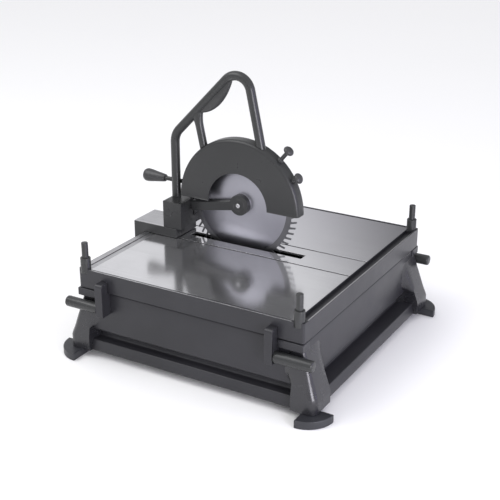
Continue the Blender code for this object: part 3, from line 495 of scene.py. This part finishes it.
def make_bars():
    for corner, (sx, sy) in CORNERS.items():
        name = "carry_bar_" + corner
        low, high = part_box(name)
        radius = (high.z - low.z) / 2
        centre = (0, (low.y + high.y) / 2, (low.z + high.z) / 2)
        inner, outer = (low.x, high.x) if sx > 0 else (high.x, low.x)
        cap = [(radius - 0.005 + px, py) for px, py in arc((0, 0), 0.005, 0, 90, 6)]
        profile = [(0, sx * inner)] + [(radius, sx * inner)]
        profile += [(px, sx * outer - 0.005 + py) for px, py in cap] + [(0, sx * outer)]
        turned(name + "_tube", profile, centre, (sx, 0, 0), DARK, "base", name)
        bracket = "bar_bracket_" + corner
        low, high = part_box(bracket)
        back = FRAME_HIGH.y + 0.0003
        wall = WALL[1] + 0.0003
        face = high.y if sy > 0 else -low.y
        step = BASE_HIGH.z - 0.0003
        outline = [(wall, low.z), (face, low.z), (face, high.z - 0.008)]
        outline += arc((face - 0.008, high.z - 0.008), 0.008, 15, 90, 5)
        outline += [(back, high.z), (back, step), (wall, step)]
        made = prism_piece(bracket + "_plate", [(sy * py, pz) for py, pz in outline], 0, low.x, high.x, CAST,
                           "base", bracket)
        bm = bmesh.new()
        lathe(bm, [(0, sx * inner - 0.002), (radius + 0.0004, sx * inner - 0.002),
                   (radius + 0.0004, sx * outer), (0, sx * outer)], centre, (sx, 0, 0), 40)
        carve(made, show("bore_tool", bm, CAST, None))
        soften(made, 0.0018, 3, 40)


# ---- Table -------------------------------------------------------------------------------
SEAM = 0.0023


def make_table():
    """The rim with its pocket, the plates with broken edges and the bright lips, the front and right ones painted
    highlights.
    """
    lip = 0.0012
    low, high = PLATES_LOW, PLATES_HIGH
    gap = 0.0003
    bm = bmesh.new()
    skin(bm, [round_rect(FRAME_HIGH.x, FRAME_HIGH.y, 0.007, FRAME_LOW.z + 0.0012, steps=5),
              round_rect(FRAME_HIGH.x, FRAME_HIGH.y, 0.007, FRAME_HIGH.z, steps=5)])
    rim = show("table_rim", bm, CAST, "base", "table_frame")
    carve(rim, box_piece("tool", (low.x - gap, low.y - gap, TABLE - 0.0063), (high.x + gap, high.y + gap, 1),
                         CAST, None))
    carve(rim, box_piece("tool", (low.x + 0.016, low.y + 0.020, 0), (high.x - 0.012, high.y - 0.020, 1),
                         CAST, None))
    carve(rim, box_piece("tool", (high.x + 0.0020, low.y + 0.026, TABLE - 0.008),
                         (FRAME_HIGH.x - 0.0055, high.y - 0.026, 1), CAST, None))
    for corner in CORNERS:
        at, radius = socket_place(corner)
        bm = bmesh.new()
        lathe(bm, [(0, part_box("corner_socket_" + corner)[0].z - gap), (radius + gap, TABLE - 0.0123),
                   (radius + gap, TABLE + 0.03), (0, TABLE + 0.03)], at, (0, 0, 1), 40)
        carve(rim, show("tool", bm, CAST, None))
    soften(rim, lip, 3, 40)
    for name, finish in (("table_plate_front", TABLE_STEEL), ("table_insert", TABLE_STEEL),
                         ("table_plate_rear", TABLE_STEEL), ("table_edge_strip", EDGE_STEEL)):
        low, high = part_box(name)
        seam = Vector((0, SEAM, 0))
        if name in ("table_insert", "table_plate_rear"):
            low = low + seam
        if name in ("table_insert", "table_plate_front"):
            high = high - seam
        made = box_piece(name + "_ground", low, high, finish, "base", name)
        if name == "table_insert":
            carve(made, box_piece("tool", (-0.2135, -0.0106, 0), (0.147, 0.018, 1), finish, None))
        else:
            for corner in CORNERS:
                at, radius = socket_place(corner)
                if low.y - radius < at.y < high.y + radius and low.x - radius < at.x < high.x + radius:
                    bm = bmesh.new()
                    lathe(bm, [(0, 0.2), (radius + gap, 0.2), (radius + gap, 0.3), (0, 0.3)], at, (0, 0, 1),
                          40)
                    carve(made, show("tool", bm, finish, None))
        soften(made, 0.0003, 2, 40)
    make_seams()
    make_lips()


def make_seams():
    """Dark strips sunk in the two joints between the plates: painted shade for the shadow inside the gaps."""
    for node, side in (("table_plate_front", 1), ("table_plate_rear", 0)):
        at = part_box(node)[side].y
        soften(box_piece(node + "_gap_shade", (PLATES_LOW.x + 0.0004, at - SEAM + 0.0002, TABLE - 0.0055),
                         (PLATES_HIGH.x - 0.0004, at + SEAM - 0.0002,
                          TABLE - 0.0007), BELT, "base"), 0.0003, 2)


def make_lips():
    """Light steel strips on the frame: the broad left lip, and the thin front lip and the right outer edge, which
    are painted highlights for the light caught by the frame's rounded top edges.
    """
    top = FRAME_HIGH.z + 0.0002
    x0, x1, y0, y1 = PLATES_LOW.x, PLATES_HIGH.x, PLATES_LOW.y, PLATES_HIGH.y
    under = TABLE - 0.0030
    outer = 0.0016
    for name, one, two in (
            ("lip_left", (FRAME_LOW.x + outer, FRAME_LOW.y + 0.019, under),
             (x0 - 0.0008, FRAME_HIGH.y - 0.019, top)),
            # The front lip and the right outer edge are painted highlights.
            ("lip_front_highlight", (x0 + 0.019, FRAME_LOW.y + 0.0006, under), (x1 - 0.006, FRAME_LOW.y + 0.0040, top)),
            ("lip_right_highlight", (FRAME_HIGH.x - 0.0042, y0 + 0.016, under),
             (FRAME_HIGH.x - 0.0006, y1 - 0.016, top))):
        soften(box_piece(name, one, two, EDGE_STEEL, "base"), 0.0005, 2)


def socket_place(corner):
    low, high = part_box("corner_socket_" + corner)
    return Vector(((low.x + high.x) / 2, (low.y + high.y) / 2, 0)), (high.x - low.x) / 2


def make_sockets():
    for corner in CORNERS:
        name = "corner_socket_" + corner
        low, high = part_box(name)
        at, radius = socket_place(corner)
        pin_low, pin_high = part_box("locating_pin_" + corner)
        pin = (pin_high.x - pin_low.x) / 2
        bore = pin + 0.0003
        edge = 0.0018
        profile = [(0, low.z), (radius, low.z)]
        profile += [(px, pz) for px, pz in arc((radius - edge, high.z - edge), edge, 0, 90, 5)]
        profile += [(bore + 0.0008, high.z), (bore, high.z - 0.0008), (bore, low.z + 0.004),
                    (0, low.z + 0.004)]
        turned(name + "_sleeve", profile, at, (0, 0, 1), DARK, "base", name)
        profile = [(0, pin_low.z), (pin, pin_low.z)]
        profile += arc((pin - 0.0022, pin_high.z - 0.0022), 0.0022, 0, 90, 5) + [(0, pin_high.z)]
        turned("locating_pin_" + corner + "_rod", profile, at, (0, 0, 1), DARK, "base",
               "locating_pin_" + corner)


# ---- Motor housing, column and head block ------------------------------------------------
LID = 0.0012


def make_housing():
    low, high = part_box("motor_housing")
    outside = FRAME_LOW.x - 0.001
    base = TABLE + 0.0015
    top = high.z - LID
    outline = [(high.x, base), (high.x, top), (low.x, top), (low.x, low.z), (outside, low.z), (outside, base)]
    soften(prism_piece("housing_shell", outline, 1, low.y, high.y, CASING, "base", "motor_housing"), 0.0020,
           3)
    # A light steel plate over the housing's top: painted highlight for the light that falls on the top face.
    edge = 0.0016
    front = box_piece("housing_top_highlight", (low.x + edge, low.y + edge, top - 0.0004),
                      (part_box("column_block")[0].x - 0.0004, high.y - edge, high.z), EDGE_STEEL, "base")
    soften(front, 0.0006, 2)


def knuckle_round(radius, start, end):
    return [(PIVOT.x + px, PIVOT.z + pz) for px, pz in arc((0, 0), radius, start, end, 14)]


def make_column():
    """Lower column with its round seat, and the head block with the matching knuckle."""
    low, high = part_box("column_block")
    seat = 0.0165
    reach = math.degrees(math.acos(min(1, (PIVOT.x - low.x) / seat)))
    outline = [(high.x, low.z), (high.x, high.z)] + knuckle_round(seat, 0, -(180 - reach)) + [(low.x, low.z)]
    made = prism_piece("column_shell", outline, 1, low.y, high.y, CASING, "base", "column_block")
    wall = 0.004
    carve(made, box_piece("tool", (low.x + wall, low.y + wall, 0), (high.x - wall, high.y - wall, 1), CASING,
                          None))
    carve(made, box_piece("tool", (high.x - 0.01, -0.0065, high.z - 0.0035), (high.x + 0.01, 0.002, 1),
                          CASING, None))
    carve(made, blade_room())
    soften(made, 0.0014, 3, 40)
    low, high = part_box("head_block")
    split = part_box("column_block")[1].z + 0.0003
    outline = [(high.x, split), (high.x, high.z), (low.x, high.z), (low.x, PIVOT.z)]
    outline += knuckle_round(0.016, 180, 360) + [(PIVOT.x + 0.016, split)]
    made = prism_piece("head_shell", outline, 1, low.y, high.y, CASING, "head", "head_block")
    carve(made, box_piece("tool", (low.x + wall, low.y + wall, 0),
                          (high.x - wall, high.y - wall, high.z - wall),
                          CASING, None))
    carve(made, box_piece("tool", (high.x - 0.01, -0.0065, 0), (high.x + 0.01, 0.002, high.z - 0.006),
                          CASING, None))
    carve(made, blade_room())
    bm = bmesh.new()
    lathe(bm, [(0, -0.1), (0.0053, -0.1), (0.0053, 0.1), (0, 0.1)], PIVOT, (0, 1, 0), 32)
    carve(made, show("tool", bm, CASING, None))
    soften(made, 0.0022, 3, 40)


def blade_room():
    """The clearance that the blade's edge needs in the column."""
    low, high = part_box("blade")
    radius = (high.x - low.x) / 2 + 0.0025
    bm = bmesh.new()
    lathe(bm, [(0, low.y - 0.002), (radius, low.y - 0.002), (radius, high.y + 0.002), (0, high.y + 0.002)],
          (ARBOR.x, 0, ARBOR.z), (0, 1, 0), 96)
    return show("tool", bm, CASING, None)


# ---- Arm, blade and guard ----------------------------------------------------------------
ARM_Y = (-0.009, 0.004)
ARM_HALF = 0.0145
HUB_RADIUS = 0.0295
HUB_FACE = -0.012


def make_arm():
    """Arm with its chamfered top front edge, stepped hub and inner tunnel."""
    run = ARBOR - PIVOT
    pitch = math.atan2(run.z, run.x)
    start = (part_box("head_block")[1].x + 0.0003 - PIVOT.x) / math.cos(pitch) + 0.003
    chamfer = 0.004
    outline = [(ARM_Y[0], -ARM_HALF), (ARM_Y[1], -ARM_HALF), (ARM_Y[1], ARM_HALF),
               (ARM_Y[0] + chamfer, ARM_HALF),
               (ARM_Y[0], ARM_HALF - chamfer)]
    made = prism_piece("arm_shell", outline, 0, start, run.length, CASING, "head", "arm")
    made.data.transform(Matrix.Translation(PIVOT) @ Matrix.Rotation(-pitch, 4, 'Y'))
    hub = (ARBOR.x, 0, ARBOR.z)
    bm = bmesh.new()
    lathe(bm, [(0, HUB_FACE), (HUB_RADIUS, HUB_FACE), (HUB_RADIUS, 0.0042), (0, 0.0042)], hub, (0, 1, 0), 72)
    carve(made, show("tool", bm, CASING, None), 'UNION')
    bm = bmesh.new()
    lathe(bm, [(0, HUB_FACE + 0.0018), (0.0113, HUB_FACE + 0.0018), (0.0113, 0.05), (0, 0.05)], hub,
          (0, 1, 0), 40)
    carve(made, show("tool", bm, CASING, None))
    bm = bmesh.new()
    lathe(bm, [(0, -0.05), (0.0053, -0.05), (0.0053, 0.05), (0, 0.05)], hub, (0, 1, 0), 32)
    carve(made, show("tool", bm, CASING, None))
    soften(made, 0.0016, 3, 25)
    ring = [(0.0165, HUB_FACE - 0.0006), (0.0185, HUB_FACE - 0.0006), (0.0195, HUB_FACE + 0.0004),
            (0.0155, HUB_FACE + 0.0004)]
    turned("hub_ring", ring, hub, (0, 1, 0), CASING, "head", segments=64)


TOOTH_SHAPE = ((0.0, 0.04), (0.16, 0.30), (0.33, 0.64), (0.50, 1.0), (0.76, 0.96), (0.63, 0.62), (0.47, 0.25),
               (0.44, 0.08), (0.52, 0.0), (0.80, 0.0))


BLADE_CORE = 0.1415
BLADE_TEETH = 60
TOOTH_DEPTH = 0.018
BLADE_BORE = 0.013


def make_blade():
    """Disc with a raised core, a darker rim band and hooked teeth with round gullets."""
    low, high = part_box("blade")
    radius = (high.x - low.x) / 2
    outline = []
    for i in range(BLADE_TEETH):
        for along, height in TOOTH_SHAPE:
            outline.append((2 * math.pi * (i + along) / BLADE_TEETH, radius - TOOTH_DEPTH * (1 - height)))
    rim = [(ARBOR.x + r * math.cos(a), ARBOR.z + r * math.sin(a)) for a, r in outline]
    made = prism_piece("blade_body", rim, 1, low.y + 0.0002, high.y - 0.0002, RIM_STEEL, "spindle", "blade")
    bm = bmesh.new()
    lathe(bm, [(0, -0.1), (BLADE_BORE, -0.1), (BLADE_BORE, 0.1), (0, 0.1)], (ARBOR.x, 0, ARBOR.z), (0, 1, 0),
          48)
    carve(made, show("tool", bm, RIM_STEEL, None))
    for name, face, out in (("blade_core_front", low.y, -1), ("blade_core_rear", high.y, 1)):
        profile = [(0.0131, face - out * 0.0004), (0.0131, face), (BLADE_CORE - 0.0006, face),
                   (BLADE_CORE, face - out * 0.0004)]
        turned(name, profile, (ARBOR.x, 0, ARBOR.z), (0, 1, 0), BLADE_STEEL, "spindle", segments=128)


def make_guard_shell(name, node, face, split, window, round_off, finish):
    """Half a drum: flat face, rounded shoulder and rim, open below the arbor's level."""
    low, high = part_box(node)
    radius = (high.x - low.x) / 2
    out = 1 if split > face else -1
    wall = 0.0025
    profile = [(window, face), (window + 0.001, face)] if window > 0.05 else [(window, face)]
    for a in range(0, 91, 10):
        angle = math.radians(a)
        profile.append((radius - round_off * (1 - math.sin(angle)),
                        face + out * round_off * (1 - math.cos(angle))))
    profile += [(radius, split), (radius - wall, split)]
    inner = round_off - wall
    for a in range(90, -1, -15):
        angle = math.radians(a)
        profile.append((radius - wall - inner * (1 - math.sin(angle)),
                        face + out * (wall + inner * (1 - math.cos(angle)))))
    profile.append((window, face + out * wall))
    bm = bmesh.new()
    lathe(bm, profile, (ARBOR.x, 0, ARBOR.z), (0, 1, 0), 144)
    made = show(name, bm, finish, "head", node)
    carve(made, box_piece("tool", (-0.5, -0.1, 0), (0.5, 0.1, ARBOR.z - 0.0003), finish, None))
    return made


def make_guard():
    low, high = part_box("guard_front_shell")
    split = high.y
    front = make_guard_shell("guard_front", "guard_front_shell", low.y, split, 0.0943, 0.010, CASING)
    run = (ARBOR - PIVOT).normalized()
    up = Vector((-run.z, 0, run.x)) * (ARM_HALF + 0.0012)
    first, second = PIVOT + up, ARBOR + up
    path = [(first.x, first.z), (second.x, second.z), (second.x, second.z - 0.08), (first.x, first.z - 0.08)]
    carve(front, prism_piece("tool", path, 1, -0.05, 0.05, CASING, None))
    soften(front, 0.0008, 2, 50)
    low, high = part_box("guard_rear_shell")
    rear = make_guard_shell("guard_rear", "guard_rear_shell", high.y, low.y, 0.034, 0.010, CASING)
    carve(rear, prism_piece("tool", path, 1, -0.05, ARM_Y[1] + 0.0003, CASING, None))
    soften(rear, 0.0008, 2, 50)


# ---- Grip, knobs and lever ---------------------------------------------------------------
GRIP_Y = -0.005
GRIP_RADIUS = 0.013
GRIP_PATH = [(-0.262, 0.3698), (-0.262, 0.5555), (-0.0333, 0.7913), (0.0193, 0.5475)]
GRIP_BENDS = [0.055, 0.044]


def rounded_path(corners, radii, step=math.radians(6)):
    """Replace each inner corner of a polyline by an arc that touches both of its sides."""
    points = [Vector(corners[0])]
    for before, corner, after, radius in zip(corners, corners[1:], corners[2:], radii):
        corner = Vector(corner)
        back = (Vector(before) - corner).normalized()
        ahead = (Vector(after) - corner).normalized()
        half = back.angle(ahead) / 2
        reach = radius / math.tan(half)
        centre = corner + (back + ahead).normalized() * radius / math.sin(half)
        start = corner + back * reach - centre
        turn = math.pi - 2 * half
        if start.cross(corner + ahead * reach - centre) < 0:
            turn = -turn
        count = max(1, round(abs(turn) / step))
        points += [centre + Matrix.Rotation(turn * i / count, 2) @ start for i in range(count + 1)]
    points.append(Vector(corners[-1]))
    return points


def tube(bm, path, y, radii, depth=None, segments=28):
    """A bar along a path in the X-Z plane, mitred at each point.

    It has a half width at each point and a half depth.
    """
    rows = []
    for i, point in enumerate(path):
        before = (point - path[i - 1]).normalized() if i else (path[1] - point).normalized()
        after = (path[i + 1] - point).normalized() if i + 1 < len(path) else before
        side = Vector((-(before + after).y, (before + after).x)).normalized()
        row = []
        for k in range(segments):
            angle = 2 * math.pi * k / segments
            offset = side * radii[i] * math.cos(angle)
            row.append((point.x + offset.x, y + (depth or radii[i]) * math.sin(angle), point.y + offset.y))
        rows.append(row)
    skin(bm, rows)


def guard_rim_tool(extra=0.0003):
    low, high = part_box("guard_rear_shell")
    radius = (high.x - low.x) / 2 + extra
    bm = bmesh.new()
    lathe(bm, [(0, -0.06), (radius, -0.06), (radius, 0.06), (0, 0.06)], (ARBOR.x, 0, ARBOR.z), (0, 1, 0), 144)
    return show("tool", bm, DARK, None)


def make_grip():
    path = rounded_path(GRIP_PATH, GRIP_BENDS)
    bm = bmesh.new()
    tube(bm, path, GRIP_Y, [GRIP_RADIUS] * len(path))
    grip = show("grip_bow", bm, DARK, "head", "grip_tube", sharp=50)
    carve(grip, guard_rim_tool())
    top, foot = Vector((-0.1870, 0.6285)), Vector((-0.1633, 0.5203))
    count = 20
    line, radii = [], []
    for i in range(count + 1):
        share = i / count
        line.append(top.lerp(foot, share))
        flare = max(0.0, 1 - share / 0.38)
        radii.append(0.0115 + 0.0090 * flare ** 2)
    bm = bmesh.new()
    tube(bm, line, GRIP_Y, radii, 0.0112)
    strut = show("grip_brace", bm, DARK, "head", "grip_strut", sharp=50)
    carve(strut, guard_rim_tool())
    make_hand_grip()


def make_hand_grip():
    """A leaf-shaped hand grip under the slanted run of the bow, rounded all round."""
    begin, end = Vector((-0.1735, 0.6310)), Vector((-0.0735, 0.7285))
    along = end - begin
    away = Vector((along.y, -along.x)).normalized()
    count = 36
    rows = []
    for i in range(count + 1):
        share = i / count
        depth = 0.0225 * max(0.0, math.sin(math.pi * min(1.0, share ** 0.85))) ** 0.8
        middle = begin + along * share
        width = 0.0112
        row = []
        for px, py in arc((0, 0), 1.0, 0, 345, 23):
            reach = -0.010 + (depth + 0.010) * (0.5 + 0.5 * px)
            point = middle + away * reach
            row.append((point.x, GRIP_Y + width * py * (0.55 + 0.45 * math.sin(math.pi * share)), point.y))
        rows.append(row)
    bm = bmesh.new()
    skin(bm, rows)
    show("hand_grip_leaf", bm, PLASTIC, "head", "hand_grip", sharp=60)


def make_knobs():
    """Mushroom knobs: a collar on the guard, a thin stem and a domed head."""
    for number, body in ((1, "knob_upper"), (2, "knob_lower")):
        node = f"guard_knob_{number}"
        joint = JOINTS[body + "_turn"]
        at, axis = Vector(joint["pos_m"]), Vector(joint["axis"])
        reach = max((vertex.co - at).dot(axis) for vertex in NODES[node].data.vertices)
        head = reach - 0.015
        profile = [(0, 0), (0.0095, 0), (0.0095, 0.0032)] + arc((0.0087, 0.0032), 0.0008, 0, 90, 3)[1:]
        profile += [(0.0072, 0.0044), (0.0058, 0.0062), (0.0056, head - 0.002), (0.0062, head)]
        profile += [(0.0120, head + 0.0006), (0.0138, head + 0.0022), (0.0150, head + 0.0052),
                    (0.0147, head + 0.0080), (0.0132, head + 0.0106), (0.0105, head + 0.0130),
                    (0.0065, head + 0.0145), (0, reach)]
        turned(node + "_turned", profile, at, axis, PLASTIC, body, node, segments=48)


def make_lever():
    low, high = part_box("lever_rod")
    centre = (0, (low.y + high.y) / 2, (low.z + high.z) / 2)
    radius = (high.z - low.z) / 2
    turned("lever_stem", [(0, low.x), (radius, low.x), (radius, high.x - 0.0012), (radius - 0.0008, high.x),
                          (0, high.x)], centre, (1, 0, 0), DARK, "side_lever", "lever_rod")
    low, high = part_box("lever_grip")
    end, mouth = low.x, high.x
    profile = [(0, end), (0.0070, end + 0.0003), (0.0118, end + 0.0018), (0.0155, end + 0.0044),
               (0.0178, end + 0.0080), (0.0189, end + 0.0122), (0.0190, end + 0.0168), (0.0184, end + 0.0225)]
    profile += [(0.0109 + 0.0075 * (1 - share), end + 0.0225 + (mouth - end - 0.0245) * share)
                for share in (0.2, 0.4, 0.6, 0.8, 1.0)]
    profile += [(0.0100, mouth), (radius + 0.0003, mouth), (radius + 0.0003, end + 0.0147), (0, end + 0.0147)]
    turned("lever_handle", profile, centre, (1, 0, 0), PLASTIC, "side_lever", "lever_grip", segments=56)


def make_fasteners():
    """The visible cap screw of the hub."""
    low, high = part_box("arbor_cap")
    centre = (ARBOR.x, 0, ARBOR.z)
    radius = (high.x - low.x) / 2
    profile = [(0, low.y + 0.0022), (0.0028, low.y + 0.0022), (0.0032, low.y)]
    profile += [(px, low.y + 0.0012 - py) for px, py in arc((radius - 0.0012, 0), 0.0012, 90, 0, 4)]
    profile += [(radius, high.y), (0, high.y)]
    turned("arbor_cap_screw", profile, centre, (0, 1, 0), BRIGHT, "spindle", "arbor_cap", segments=40)


# ---- Stage -------------------------------------------------------------------------------
def make_stage():
    floor = bpy.data.meshes.new("floor")
    size = 14.0
    floor.from_pydata([(-size, -size, 0), (size, -size, 0), (size, size, 0), (-size, size, 0)], [],
                      [(0, 1, 2, 3)])
    ground = bpy.data.objects.new("floor", floor)
    bpy.context.scene.collection.objects.link(ground)
    g = Graph("floor_paper")
    tone = g.span(g.noise(0.6, 3.0), 0.0, 1.0)
    floor.materials.append(g.finish(0.0, g.mix(tone, (0.968, 0.968, 0.963), (0.976, 0.976, 0.971)), 0.9,
                                    Specular_IOR_Level=0.1))


def add_light(name, location, target, size, power, color):
    light = bpy.data.lights.new(name, 'AREA')
    light.shape = 'RECTANGLE'
    light.size, light.size_y = size
    light.energy = power
    light.color = color
    made = bpy.data.objects.new(name, light)
    made.location = location
    made.rotation_euler = (Vector(target) - Vector(location)).to_track_quat('-Z', 'Y').to_euler()
    bpy.context.scene.collection.objects.link(made)


WORLD_HORIZON = 0.80
WORLD_TOP = 0.97
WORLD_TOP_FROM = 0.75
KEY_POWER = 60
RIGHT_POWER = 14
STRIP_POWER = 34
CARD_START = (-0.52, -0.37)
CARD_END = (0.20, 0.80)
CARD_RISE = (0.08, 0.16)
CARD_FALL = (0.52, 0.75)
CARD_SHADE = 0.80


def dark_card(tree, apart, light):
    """A soft dark card in the backdrop behind the object's right side, seen only in reflections."""
    def node(operation, first, second):
        made = tree.nodes.new("ShaderNodeMath")
        made.operation = operation
        for socket, value in zip(made.inputs, (first, second)):
            if isinstance(value, float):
                socket.default_value = value
            else:
                tree.links.new(value, socket)
        return made.outputs[0]

    def ramp(value, ends, start, stop):
        made = tree.nodes.new("ShaderNodeMapRange")
        tree.links.new(value, made.inputs["Value"])
        for key, number in zip(RANGE_SOCKETS, (*ends, start, stop)):
            made.inputs[key].default_value = number
        return made.outputs["Result"]

    side = node('DIVIDE', apart.outputs["X"], node('MAXIMUM', apart.outputs["Y"], 0.001))
    shade = node('MULTIPLY', ramp(side, CARD_START, 0.0, 1.0), ramp(side, CARD_END, 1.0, 0.0))
    band = node('MULTIPLY', ramp(apart.outputs["Z"], CARD_RISE, 0.0, 1.0),
                ramp(apart.outputs["Z"], CARD_FALL, 1.0, 0.0))
    return node('MULTIPLY', light, node('SUBTRACT', 1.0,
                                        node('MULTIPLY', node('MULTIPLY', shade, band), CARD_SHADE)))


def make_lights():
    world = bpy.data.worlds.new("studio")
    bpy.context.scene.world = world
    world.use_nodes = True
    background = world.node_tree.nodes["Background"]
    tree = world.node_tree
    place = tree.nodes.new("ShaderNodeTexCoord")
    apart = tree.nodes.new("ShaderNodeSeparateXYZ")
    tree.links.new(place.outputs["Generated"], apart.inputs[0])
    ramp = tree.nodes.new("ShaderNodeMapRange")
    ramp.interpolation_type = 'SMOOTHSTEP'
    tree.links.new(apart.outputs["Z"], ramp.inputs["Value"])
    for key, number in zip(RANGE_SOCKETS, (0.0, WORLD_TOP_FROM, WORLD_HORIZON, WORLD_TOP)):
        ramp.inputs[key].default_value = number
    tree.links.new(dark_card(tree, apart, ramp.outputs["Result"]), background.inputs["Strength"])
    background.inputs["Color"].default_value = (0.97, 0.97, 1.0, 1.0)
    add_light("key", (-1.8, -1.6, 3.4), (0, 0, 0.2), (2.6, 2.6), KEY_POWER, (1.0, 1.0, 1.0))
    add_light("right_box", (3.3, 0.6, 1.1), (0, 0, 0.25), (0.9, 1.6), RIGHT_POWER, (0.50, 0.44, 1.0))
    add_light("strip", (2.17, -1.37, 0.55), (0.36, -0.36, 0.15), (0.9, 1.0), STRIP_POWER, (0.93, 0.91, 1.0))
    bpy.context.scene.view_settings.view_transform = 'Standard'


def make_camera():
    data = bpy.data.cameras.new("camera")
    data.lens = CAMERA_LENS
    data.sensor_width = 36.0
    data.clip_end = 100.0
    made = bpy.data.objects.new("camera", data)
    made.location = CAMERA_AT
    made.rotation_euler = (math.radians(90 - CAMERA_ELEVATION), 0, math.radians(CAMERA_AZIMUTH))
    bpy.context.scene.collection.objects.link(made)
    bpy.context.scene.camera = made


make_camera()
finish_cad_nodes()
make_base()
make_legs()
make_flanges()
make_feet()
make_bars()
make_table()
make_sockets()
make_housing()
make_column()
make_arm()
make_blade()
make_guard()
make_grip()
make_knobs()
make_lever()
make_fasteners()
make_stage()
make_lights()
